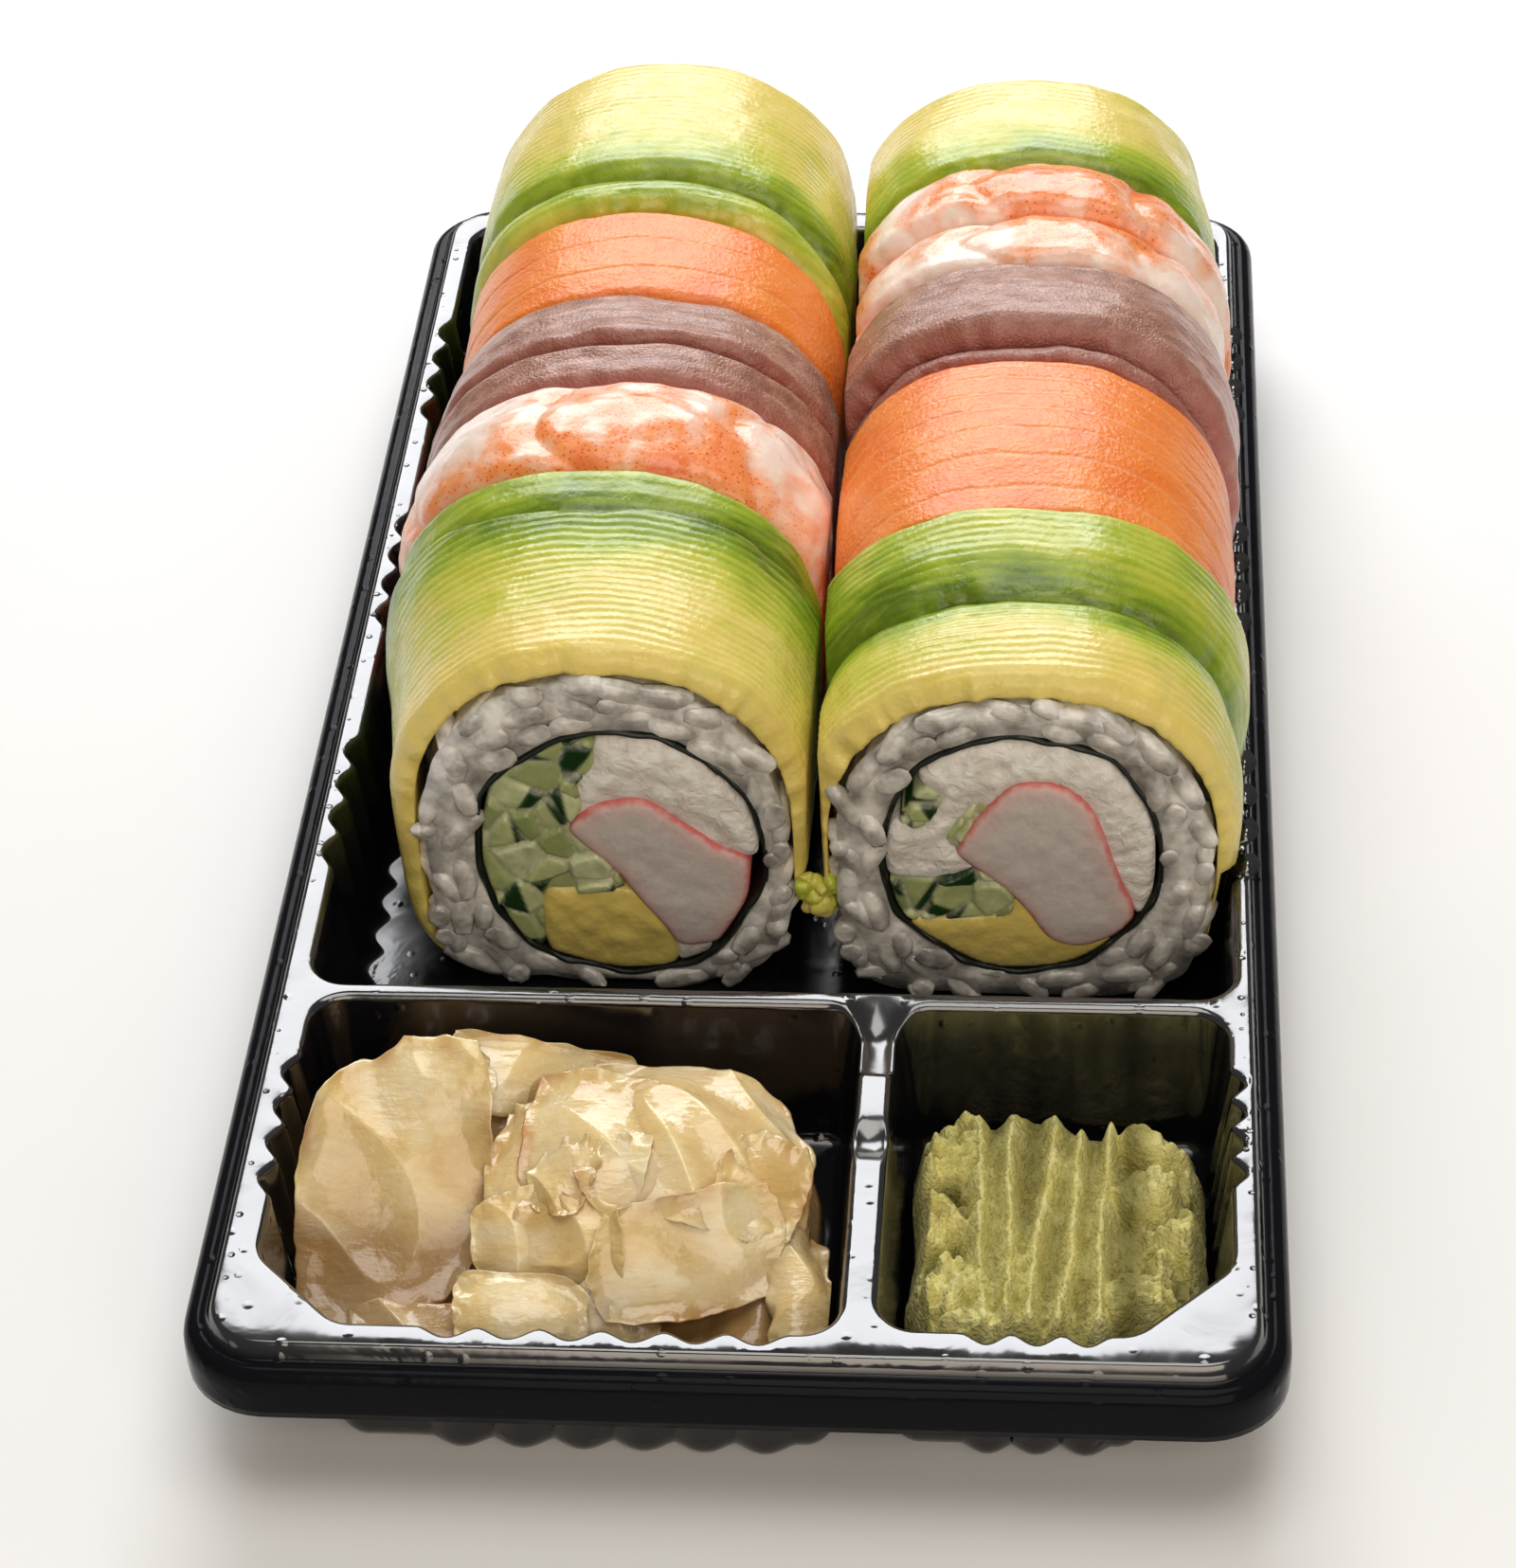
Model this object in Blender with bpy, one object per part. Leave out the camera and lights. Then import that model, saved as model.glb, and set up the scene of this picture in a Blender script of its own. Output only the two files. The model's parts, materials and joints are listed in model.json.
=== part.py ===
"""Takeaway sushi tray: a black moulded tray with two topped rolls, pickled ginger and wasabi.

Sizes are in millimetres and are turned into metres where a mesh is made. The origin is at the
middle of the tray's underside, +X is to the right, +Y runs from the ginger end to the far end of
the rolls, and +Z is up.
"""
import math
import random
from collections import namedtuple

import bmesh
import bpy
import numpy as np

MM = 0.001

# Tray
TRAY_HEIGHT = 17.0
WALL = 0.8
FLOOR = 0.9
RIM_HALF_WIDTH = 49.3
RIM_HALF_LENGTH = 96.1
RIM_CORNER = 8.0
FLANGE_HALF_WIDTH = 46.4
FLANGE_HALF_LENGTH = 93.2
SKIRT_BOTTOM = 10.4
WALL_DRAFT = 1.5
FLOOR_CHAMFER = 2.9
FOOT_HEIGHT = 1.5
FLUTE_DEPTH = 1.2
LIP_DEPTH = 0.5
LIP_WIDTH = 0.45

# Food
GAP = 0.3
HALF_GAP = GAP / 2
FILLING_INSET = 0.3
RICE_INSET = 0.5
NORI_INSET = 0.2
FOOD_BASE = FLOOR + GAP
NORI_THICKNESS = 0.5
NORI_CLEARANCE = 0.6
TOPPING_CLEARANCE = 0.6
GRAIN_LENGTH = 6.8
GRAIN_WIDTH = 3.1
GRAIN_HALF_DEPTH = 1.25
GRAIN_CLEARANCE = 0.12
TWO_GRAINS = 4.4
ONE_GRAIN = 2.2

Pocket = namedtuple("Pocket", "left right front back radius cut_left cut_right flutes")
Row = namedtuple("Row", "name stations left right top front back ring_x ring_z ring_a ring_b")
Topping = namedtuple("Topping", "name row front back ends thickness material")

# A flute group is the side it is on, the middle of each flute along that side, and its width.
SUSHI_GROUPS = (-18.5, 20.7, 59.0)
SUSHI_FLUTE_PITCH = 5.3
LONG_FLUTES = [middle + (k - 1.5) * SUSHI_FLUTE_PITCH for middle in SUSHI_GROUPS for k in range(4)]
GINGER_SIDE_FLUTES = [-58.6 - 4.7 * k for k in range(4)]
GINGER_FRONT_FLUTES = [-25.0 + 5.5 * k for k in range(6)]
WASABI_SIDE_FLUTES = [-57.5 - 3.9 * k for k in range(4)]
WASABI_FRONT_FLUTES = [22.5 + 4.4 * k for k in range(3)]
POCKETS = {
    "sushi": Pocket(-44.0, 44.8, -45.8, 89.5, 3.5, 0.0, 0.0,
                    (("right", LONG_FLUTES, 5.0), ("left", LONG_FLUTES, 5.0))),
    "ginger": Pocket(-43.1, 9.5, -90.3, -48.0, 3.5, 8.0, 0.0,
                     (("left", GINGER_SIDE_FLUTES, 4.4), ("front", GINGER_FRONT_FLUTES, 5.2))),
    "wasabi": Pocket(12.9, 44.1, -89.5, -48.0, 3.5, 0.0, 8.6,
                     (("right", WASABI_SIDE_FLUTES, 3.7), ("front", WASABI_FRONT_FLUTES, 4.0))),
}

# Rolls: the rice core's sides and top at stations along Y, and its seaweed ring.
ROWS = {
    "left": Row("left", (-28.0, 8.0, 40.0, 85.0), (-35.1, -38.4, -36.8, -36.6),
                (1.2, 1.2, 1.2, -0.4), (40.0, 39.6, 38.8, 39.4), -27.9, 85.0,
                -15.5, 18.2, 14.3, 15.5),
    "right": Row("right", (-29.0, 10.0, 50.0, 84.0), (5.8, 5.8, 5.8, 5.8),
                 (42.8, 42.9, 42.9, 40.6), (38.6, 39.2, 38.6, 38.2), -29.0, 84.0,
                 24.2, 19.8, 13.7, 15.0),
}
CORE_TURNS = 22
SHORTEST_TURN = 0.08
SIDE_TURN = 2.0
EDGE_CURVE = 1.6
TOP_ROUNDNESS = 2.3
BASE_SQUARENESS = 4.5
RING_ROUNDNESS = 2.1
RING_WAVES = ((5, 0.014, 3.9), (9, 0.010, 0.0))

# How much narrower a heap's flat base is than its top.
HEAP_FOOT = 0.88

# Where the rolls press on each other and lean on the tray's side walls.
ROLL_SEAM = 3.9
PRESSED_SHARE = 0.22
DEEPEST_LIFT = 5.0
RIM_CLEAR_HEIGHT = TRAY_HEIGHT + 0.9
ROLL_OVERHANG = 9.0

COLOURS = {
    "tray_plastic": ((0.008, 0.008, 0.010), 0.12),
    "rice": ((0.72, 0.71, 0.68), 0.35),
    "seaweed": ((0.010, 0.014, 0.010), 0.45),
    "cream_cheese": ((0.85, 0.82, 0.76), 0.45),
    "crab_stick": ((0.70, 0.58, 0.56), 0.40),
    "cucumber": ((0.36, 0.45, 0.16), 0.30),
    "avocado": ((0.62, 0.64, 0.16), 0.35),
    "prawn": ((0.85, 0.50, 0.30), 0.30),
    "tuna": ((0.38, 0.20, 0.18), 0.30),
    "salmon": ((0.86, 0.30, 0.10), 0.32),
    "pickled_ginger": ((0.82, 0.66, 0.42), 0.28),
    "wasabi": ((0.42, 0.43, 0.13), 0.65),
}


def remove_scene_objects():
    """Empty the scene that Blender opens with."""
    for item in list(bpy.data.objects):
        bpy.data.objects.remove(item, do_unlink=True)


def make_material(name):
    """The Principled material of one food or of the tray."""
    if name in bpy.data.materials:
        return bpy.data.materials[name]
    colour, roughness = COLOURS[name]
    material = bpy.data.materials.new(name)
    material.use_nodes = True
    shader = material.node_tree.nodes["Principled BSDF"]
    shader.inputs["Base Color"].default_value = (*colour, 1.0)
    shader.inputs["Roughness"].default_value = roughness
    shader.inputs["Metallic"].default_value = 0.0
    return material


def make_object(name, points, faces, material, smooth_angle=40.0):
    """One closed body from points in millimetres, with its faces turned outwards."""
    mesh = bpy.data.meshes.new(name)
    mesh.from_pydata((np.asarray(points) * MM).tolist(), [], faces)
    work = bmesh.new()
    work.from_mesh(mesh)
    bmesh.ops.recalc_face_normals(work, faces=work.faces)
    work.to_mesh(mesh)
    work.free()
    mesh.shade_smooth()
    mesh.set_sharp_from_angle(angle=math.radians(smooth_angle))
    mesh.materials.append(make_material(material))
    item = bpy.data.objects.new(name, mesh)
    bpy.context.scene.collection.objects.link(item)
    return item


def ring_faces(lower, upper, count):
    """Quads between two closed rings of points, given by their first indices."""
    return [(lower + k, lower + (k + 1) % count, upper + (k + 1) % count, upper + k)
            for k in range(count)]


def loft(loops):
    """Points and faces of a body through closed loops, capped at both ends."""
    count = len(loops[0])
    faces = [tuple(range(count))[::-1]]
    for level in range(len(loops) - 1):
        faces += ring_faces(level * count, (level + 1) * count, count)
    faces.append(tuple(range((len(loops) - 1) * count, len(loops) * count)))
    return np.concatenate(loops), faces


def tube(outer, inner):
    """Points and faces of a tube with a wall, from lists of outer and inner loops along it."""
    count = len(outer[0])
    start = len(outer) * count
    faces = []
    for level in range(len(outer) - 1):
        faces += ring_faces(level * count, (level + 1) * count, count)
        faces += ring_faces(start + (level + 1) * count, start + level * count, count)
    end = (len(outer) - 1) * count
    faces += ring_faces(start, 0, count)
    faces += ring_faces(end, start + end, count)
    return np.concatenate([*outer, *inner]), faces


def slab(upper, lower):
    """Points and faces of a closed sheet between two grids of the same shape."""
    rows, columns = upper.shape[:2]
    start = rows * columns
    faces = []
    for i in range(rows - 1):
        for j in range(columns - 1):
            a = i * columns + j
            b, c, d = a + 1, a + columns + 1, a + columns
            faces += [(a, b, c), (a, c, d)]
            faces += [(start + c, start + b, start + a), (start + d, start + c, start + a)]
    edge = [j for j in range(columns)]
    edge += [i * columns + columns - 1 for i in range(1, rows)]
    edge += [(rows - 1) * columns + j for j in range(columns - 2, -1, -1)]
    edge += [i * columns for i in range(rows - 2, 0, -1)]
    for k, here in enumerate(edge):
        after = edge[(k + 1) % len(edge)]
        faces.append((here, start + here, start + after, after))
    return np.concatenate([upper.reshape(-1, 3), lower.reshape(-1, 3)]), faces


def smooth_knots(at, knots, values):
    """Values read between knots with a smooth step from each to the next."""
    at = np.clip(at, knots[0], knots[-1])
    index = np.clip(np.searchsorted(knots, at, side="right") - 1, 0, len(knots) - 2)
    knots, values = np.asarray(knots), np.asarray(values)
    share = (at - knots[index]) / (knots[index + 1] - knots[index])
    share = share * share * (3 - 2 * share)
    return values[index] * (1 - share) + values[index + 1] * share


# Tray

def corner_arc(centre, radius, start, sweep, count):
    """Points and outward normals on an arc, in degrees."""
    result = []
    for k in range(count + 1):
        angle = math.radians(start + sweep * k / count)
        normal = (math.cos(angle), math.sin(angle))
        result.append((centre[0] + radius * normal[0], centre[1] + radius * normal[1], *normal))
    return result


def cut_corner(x, y, cut, radius, start):
    """A corner cut at 45 degrees, with a small arc at both ends of the cut."""
    middle = math.radians(start + 45.0)
    normal = (math.cos(middle), math.sin(middle))
    along = (-normal[1], normal[0])
    reach = cut / math.sqrt(2.0)
    centre = (x - normal[0] * reach, y - normal[1] * reach)
    soften = radius * math.tan(math.radians(22.5))
    first = (centre[0] - along[0] * (reach - soften), centre[1] - along[1] * (reach - soften))
    second = (centre[0] + along[0] * (reach - soften), centre[1] + along[1] * (reach - soften))
    result = []
    for point, begin in ((first, start), (second, start + 45.0)):
        hub = (point[0] - normal[0] * radius, point[1] - normal[1] * radius)
        result += corner_arc(hub, radius, begin, 45.0, 2)
    return result


def fluted_side(flutes, width, fixed, side):
    """Points and normals of the scallops along one side, in the order the outline runs."""
    normal = {"right": (1.0, 0.0), "back": (0.0, 1.0), "left": (-1.0, 0.0), "front": (0.0, -1.0)}[side]
    order = sorted(flutes, reverse=side in ("left", "back"))
    step = -1.0 if side in ("left", "back") else 1.0
    result = []
    for middle in order:
        for offset, depth in ((-0.44, 0.0), (0.0, 1.0), (0.44, 0.0)):
            along = middle + step * offset * width
            out = depth * FLUTE_DEPTH
            if side in ("left", "right"):
                result.append((fixed + normal[0] * out, along, *normal))
            else:
                result.append((along, fixed + normal[1] * out, *normal))
    return result


def pocket_outline(pocket):
    """The pocket's edge at the flange, anticlockwise from its front right corner."""
    flutes = {side: (middles, width) for side, middles, width in pocket.flutes}
    r = pocket.radius
    outline = []
    if pocket.cut_right:
        outline += cut_corner(pocket.right, pocket.front, pocket.cut_right, r, -90.0)
    else:
        outline += corner_arc((pocket.right - r, pocket.front + r), r, -90.0, 90.0, 3)
    if "right" in flutes:
        outline += fluted_side(*flutes["right"], pocket.right, "right")
    outline += corner_arc((pocket.right - r, pocket.back - r), r, 0.0, 90.0, 3)
    outline += corner_arc((pocket.left + r, pocket.back - r), r, 90.0, 90.0, 3)
    if "left" in flutes:
        outline += fluted_side(*flutes["left"], pocket.left, "left")
    if pocket.cut_left:
        outline += cut_corner(pocket.left, pocket.front, pocket.cut_left, r, 180.0)
    else:
        outline += corner_arc((pocket.left + r, pocket.front + r), r, 180.0, 90.0, 3)
    if "front" in flutes:
        outline += fluted_side(*flutes["front"], pocket.front, "front")
    return np.array(outline)


def rounded_rectangle(half_width, half_length, radius, count=4):
    """A rounded rectangle about the origin, with outward normals."""
    outline = []
    for k, (sx, sy) in enumerate(((1, -1), (1, 1), (-1, 1), (-1, -1))):
        hub = (sx * (half_width - radius), sy * (half_length - radius))
        outline += corner_arc(hub, radius, -90.0 + 90.0 * k, 90.0, count)
    return np.array(outline)


def inset_loop(outline, inset, height):
    """The outline moved inwards along its normals and set at a height."""
    flat = outline[:, :2] - outline[:, 2:] * inset
    return np.column_stack([flat, np.full(len(flat), height)])


def tray_rim():
    """The flange plate with its stepped, rounded bead and short skirt, as one solid plate."""
    edge = rounded_rectangle(RIM_HALF_WIDTH, RIM_HALF_LENGTH, RIM_CORNER)
    reach = RIM_HALF_WIDTH - FLANGE_HALF_WIDTH
    top = TRAY_HEIGHT
    profile = ((reach + WALL, top - WALL), (reach - 0.1, top - 2.4), (WALL + 0.9, top - 2.3),
               (WALL, top - 3.2), (WALL, SKIRT_BOTTOM), (0.0, SKIRT_BOTTOM), (0.0, top - 3.0),
               (0.5, top - 1.9), (1.4, top - 1.4), (reach - 0.7, top - 1.5), (reach, top - 0.2),
               (reach + 0.3, top))
    return loft([inset_loop(edge, inset, height) for inset, height in profile])


def pocket_body(pocket, wall, floor, top):
    """A pocket as a solid: its own hollow, or that hollow with the wall's thickness round it."""
    outline = pocket_outline(pocket)
    levels = [(FLOOR_CHAMFER - wall * 0.8, floor), (WALL_DRAFT - wall, floor + FOOT_HEIGHT)]
    if wall:
        levels.append((-wall, top))
    else:
        levels += [(0.0, TRAY_HEIGHT - LIP_DEPTH), (-LIP_WIDTH, top)]
    return loft([inset_loop(outline, inset, height) for inset, height in levels])


def apply_boolean(item, operation, tools, solver="EXACT"):
    """Join or cut an item with a collection of tools, which is then removed."""
    group = bpy.data.collections.new(item.name + "_tools")
    bpy.context.scene.collection.children.link(group)
    for tool in tools:
        bpy.context.scene.collection.objects.unlink(tool)
        group.objects.link(tool)
    modifier = item.modifiers.new(operation.lower(), "BOOLEAN")
    modifier.operation = operation
    modifier.operand_type = "COLLECTION"
    modifier.collection = group
    modifier.solver = solver
    graph = bpy.context.evaluated_depsgraph_get()
    result = bpy.data.meshes.new_from_object(item.evaluated_get(graph))
    item.modifiers.clear()
    old = item.data
    item.data = result
    bpy.data.meshes.remove(old)
    for tool in tools:
        bpy.data.objects.remove(tool, do_unlink=True)
    bpy.data.collections.remove(group)


def keep_largest_body(item):
    """Drop loose scraps and sealed hollows that joining shapes can leave, keeping the main body."""
    work = bmesh.new()
    work.from_mesh(item.data)
    unseen = set(work.faces)
    bodies = []
    while unseen:
        stack = [unseen.pop()]
        body = set(stack)
        while stack:
            for edge in stack.pop().edges:
                for face in edge.link_faces:
                    if face in unseen:
                        unseen.discard(face)
                        body.add(face)
                        stack.append(face)
        bodies.append(body)
    main_body = max(bodies, key=len)
    loose = [face for face in work.faces if face not in main_body]
    bmesh.ops.delete(work, geom=loose, context="FACES")
    work.to_mesh(item.data)
    work.free()


def make_tray():
    """The tray: rim and three pocket walls joined, then the three hollows cut out."""
    tray = make_object("tray", *tray_rim(), "tray_plastic", 30.0)
    walls = [make_object(f"{name}_wall", *pocket_body(pocket, WALL, 0.0, TRAY_HEIGHT - 0.4),
                         "tray_plastic") for name, pocket in POCKETS.items()]
    apply_boolean(tray, "UNION", walls)
    hollows = [make_object(f"{name}_hollow", *pocket_body(pocket, 0.0, FLOOR, TRAY_HEIGHT + 0.5),
                           "tray_plastic") for name, pocket in POCKETS.items()]
    apply_boolean(tray, "DIFFERENCE", hollows)
    return tray


# Rolls

def signed_power(value, power):
    """The power of a value's size, with its sign kept."""
    return np.sign(value) * np.abs(value) ** power


def row_point(row, turn, y, lift):
    """Points on a roll's outline: turn is the angle from the top, lift the distance outwards."""
    left = smooth_knots(y, row.stations, row.left) - lift
    right = smooth_knots(y, row.stations, row.right) + lift
    top = smooth_knots(y, row.stations, row.top) + lift
    middle_z = (top + FOOD_BASE - lift) / 2
    half = (right - left) / 2
    shape = np.where(np.cos(turn) > 0, TOP_ROUNDNESS, BASE_SQUARENESS)
    x = (left + right) / 2 + half * signed_power(np.sin(turn), 2 / shape)
    z = middle_z + (top - middle_z) * signed_power(np.cos(turn), 2 / shape)
    z = np.maximum(z, FOOD_BASE)
    return np.stack([press_sides(row, x, z, lift), y + 0 * x, z], axis=-1)


def wall_inset(z, margin, overhang):
    """How far inside a pocket's edge its contents stay at a height, or how far they overhang."""
    slope = WALL_DRAFT / (TRAY_HEIGHT - FLOOR - FOOT_HEIGHT - LIP_DEPTH)
    foot = (FLOOR_CHAMFER - WALL_DRAFT) * np.maximum(FLOOR + FOOT_HEIGHT - z, 0) / FOOT_HEIGHT
    reach = slope * np.maximum(TRAY_HEIGHT - z, 0) + foot + GAP + margin
    return np.where(z < RIM_CLEAR_HEIGHT, reach, -overhang)


def press_sides(row, x, z, lift):
    """Keep a roll's sides off the other roll and, below the rim, off the tray's sloping walls."""
    pocket = POCKETS["sushi"]
    depth = (DEEPEST_LIFT - lift) * PRESSED_SHARE
    if row.name == "left":
        x = np.minimum(x, ROLL_SEAM - HALF_GAP - depth)
    else:
        x = np.maximum(x, ROLL_SEAM + HALF_GAP + depth)
    reach = wall_inset(z, depth, ROLL_OVERHANG)
    return np.clip(x, pocket.left + reach, pocket.right - reach)


def even_turns(row, count):
    """Angles spaced evenly by length round a roll."""
    dense = np.linspace(-math.pi, math.pi, 1441)
    line = row_point(row, dense, np.full(len(dense), (row.front + row.back) / 2), 0.0)
    length = np.concatenate([[0], np.cumsum(np.linalg.norm(np.diff(line, axis=0), axis=1))])
    return np.interp(np.linspace(0, length[-1], count, endpoint=False), length, dense)


def turns_over(row, low_left, low_right):
    """The core's own angles over its top, between a height at the left and one at the right."""
    dense = np.linspace(-math.pi, math.pi, 1441)
    height = row_point(row, dense, np.full(len(dense), (row.front + row.back) / 2), 0.0)[:, 2]
    start = dense[(dense < 0) & (height >= low_left)][0]
    end = dense[(dense > 0) & (height >= low_right)][-1]
    turns = even_turns(row, CORE_TURNS)
    inside = turns[(turns > start + SHORTEST_TURN) & (turns < end - SHORTEST_TURN)]
    return np.concatenate([[start], inside, [end]])


def ring_point(row, angle, y, offset):
    """Points on a roll's wavy seaweed ring: angle is from +X, offset the distance outwards."""
    wave = np.ones_like(angle)
    for waves, size, phase in RING_WAVES:
        wave += size * np.sin(waves * angle + phase + row.ring_x)
    x = row.ring_x + (row.ring_a * wave + offset) * signed_power(np.cos(angle), 2 / RING_ROUNDNESS)
    z = row.ring_z + (row.ring_b * wave + offset) * signed_power(np.sin(angle), 2 / RING_ROUNDNESS)
    return np.stack([x, y + 0 * x, z], axis=-1)


def make_rice(row):
    """A roll's rice: a tube round the seaweed, with the grains that show at both cut faces."""
    count = CORE_TURNS
    turns = even_turns(row, count)
    reference = row_point(row, turns, np.full(count, row.front), 0.0)
    angles = np.arctan2((reference[:, 2] - row.ring_z) / row.ring_b,
                        (reference[:, 0] - row.ring_x) / row.ring_a)
    ends = (row.front + RICE_INSET, row.back - RICE_INSET)
    stations = (ends[0], *row.stations[1:-1], ends[1])
    outer = [row_point(row, turns, np.full(count, y), 0.0) for y in stations]
    inner = [ring_point(row, angles, np.full(count, y), NORI_CLEARANCE) for y in stations]
    rice = make_object(f"rice_{row.name}", *tube(outer, inner), "rice")
    grains = []
    for end, y in (("front", ends[0]), ("back", ends[1])):
        grains += face_grains(row, y, end)
    apply_boolean(rice, "UNION", grains)
    keep_largest_body(rice)
    return rice


def face_grains(row, y, end):
    """Grains standing out of one cut face, laid round the ring in one or two circles."""
    draw = random.Random(f"{row.name} {end}")
    grains = []
    steps = 360
    dense = np.linspace(0, 2 * math.pi, steps, endpoint=False)
    outline = row_point(row, even_turns(row, steps), np.full(steps, y), 0.0)
    seaweed = ring_point(row, dense, np.full(steps, y), NORI_CLEARANCE)
    for layer in (0, 1):
        walked = draw.uniform(0, 3)
        previous = None
        for k in range(steps):
            inner = seaweed[k]
            outward = np.array([math.cos(dense[k]) / row.ring_a, 0, math.sin(dense[k]) / row.ring_b])
            outward /= np.linalg.norm(outward)
            reach = outline - inner
            away = reach @ outward
            aside = np.abs(reach @ np.array([-outward[2], 0, outward[0]]))
            facing = np.where(away > 0, aside, np.inf)
            thickness = away[np.argmin(facing)]
            two = thickness > TWO_GRAINS
            if (layer == 1 and not two) or thickness < ONE_GRAIN:
                previous = None
                continue
            half_width = min(GRAIN_WIDTH / 2, thickness / (4 if two else 2) - GRAIN_CLEARANCE)
            share = (0.27, 0.73)[layer] if two else 0.5
            centre = inner + outward * thickness * share
            if previous is not None:
                walked += np.linalg.norm(centre - previous)
            previous = centre
            if walked < GRAIN_LENGTH:
                continue
            walked = draw.uniform(-0.2, 0.6)
            along = np.array([-outward[2], 0, outward[0]])
            tilt = draw.uniform(-0.10, 0.10)
            along = along * math.cos(tilt) + outward * math.sin(tilt)
            length = GRAIN_LENGTH * draw.uniform(0.86, 1.0) / 2
            grains.append(make_grain(f"grain_{row.name}_{end}_{len(grains)}", centre, along,
                                     (length, GRAIN_HALF_DEPTH, half_width)))
    return grains


def make_grain(name, centre, along, half_sizes, segments=5, rings=3):
    """A rice grain as a small ellipsoid lying along a direction in the cut face, off the floor."""
    across = np.array([along[2], 0, -along[0]])
    points = [centre + along * half_sizes[0]]
    for i in range(1, rings):
        bend = math.pi * i / rings
        for j in range(segments):
            swing = 2 * math.pi * (j + 0.5 * (i % 2)) / segments
            side = across * math.cos(swing) * half_sizes[2]
            depth = np.array([0, 1, 0]) * math.sin(swing) * half_sizes[1]
            points.append(centre + along * half_sizes[0] * math.cos(bend)
                          + (side + depth) * math.sin(bend))
    points.append(centre - along * half_sizes[0])
    points = np.array(points)
    points[:, 2] = np.maximum(points[:, 2], FOOD_BASE)
    last = len(points) - 1
    faces = [(0, 1 + j, 1 + (j + 1) % segments) for j in range(segments)]
    for i in range(rings - 2):
        first, second = 1 + i * segments, 1 + (i + 1) * segments
        faces += ring_faces(first, second, segments)
    faces += [(last, last - segments + (j + 1) % segments, last - segments + j)
              for j in range(segments)]
    return make_object(name, points, faces, "rice")


def make_nori(row):
    """The seaweed sheet: a thin wavy tube through the whole roll."""
    count = 30
    angles = np.linspace(0, 2 * math.pi, count, endpoint=False)
    ends = (row.front + NORI_INSET, row.back - NORI_INSET)
    outer = [ring_point(row, angles, np.full(count, y), 0.0) for y in ends]
    inner = [ring_point(row, angles, np.full(count, y), -NORI_THICKNESS) for y in ends]
    return make_object(f"nori_{row.name}", *tube(outer, inner), "seaweed")


def ring_arc(row, first, last, count=6):
    """Points on the inner side of the seaweed, between two angles in degrees."""
    angles = np.radians(np.linspace(first, last, count))
    arc = ring_point(row, angles, np.zeros(count), -NORI_THICKNESS - HALF_GAP)
    return [(p[0] - row.ring_x, p[2] - row.ring_z) for p in arc]


def inset_polygon(points, distance):
    """A polygon with each side moved inwards by a distance."""
    points = np.array(points)
    area = np.sum(points[:, 0] * np.roll(points[:, 1], -1) - np.roll(points[:, 0], -1) * points[:, 1])
    if area < 0:
        points = points[::-1]
    ahead = np.roll(points, -1, axis=0) - points
    ahead /= np.linalg.norm(ahead, axis=1)[:, None]
    normal = np.stack([-ahead[:, 1], ahead[:, 0]], axis=1)
    before = np.roll(normal, 1, axis=0)
    share = 1 + np.sum(before * normal, axis=1)
    return points + (before + normal) * (distance / np.maximum(share, 0.5))[:, None]


def make_filling(name, row, outline, material, proud=0.0):
    """A filling that runs through the roll with one section, standing proud of the cut faces."""
    shape = inset_polygon(outline, HALF_GAP)
    loops = []
    for y in (row.front + FILLING_INSET - proud, row.back - FILLING_INSET + proud):
        loops.append(np.column_stack([shape[:, 0] + row.ring_x, np.full(len(shape), y),
                                      shape[:, 1] + row.ring_z]))
    return make_object(name, *loft(loops), material, 25.0)


def make_left_fillings(row):
    """Crab stick, cucumber, avocado and cream cheese of the left roll, from shared corners."""
    tip = (-4.9, 3.6)
    crab_top = [tip, (-2.0, 6.4), (2.8, 7.4), (6.2, 4.4), (9.8, 1.2), (12.9, 0.0)]
    crab_right = [(12.5, -5.0), (10.2, -9.4), (9.1, -11.0), (5.6, -11.6)]
    crab_left = [(4.3, -9.0), (2.0, -5.6), (-0.6, -1.2), (-3.2, 1.4)]
    notch = [(-3.3, 6.0), (-4.0, 9.0), (-1.9, 11.0)]
    avocado_top = [(-7.9, -4.2), (-5.5, -4.8), (0.4, -4.6)]
    make_filling("crab_stick_left", row, crab_top + crab_right + crab_left, "crab_stick", 0.5)
    make_filling("cream_cheese_left", row, ring_arc(row, 2, 96, 9) + notch[::-1] + crab_top,
                 "cream_cheese")
    make_filling("avocado_strip_left", row, avocado_top + crab_left[1::-1]
                 + [(4.9, -10.4)] + ring_arc(row, 291, 236, 6), "avocado", 0.2)
    make_filling("cream_cheese_base_left", row, [(4.9, -10.4), (5.6, -11.6), (8.6, -11.1)]
                 + ring_arc(row, 306, 292, 4), "cream_cheese")
    make_filling("cucumber_left", row, ring_arc(row, 97, 235, 15) + avocado_top
                 + crab_left[2:] + [tip] + notch, "cucumber", 0.3)


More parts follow.
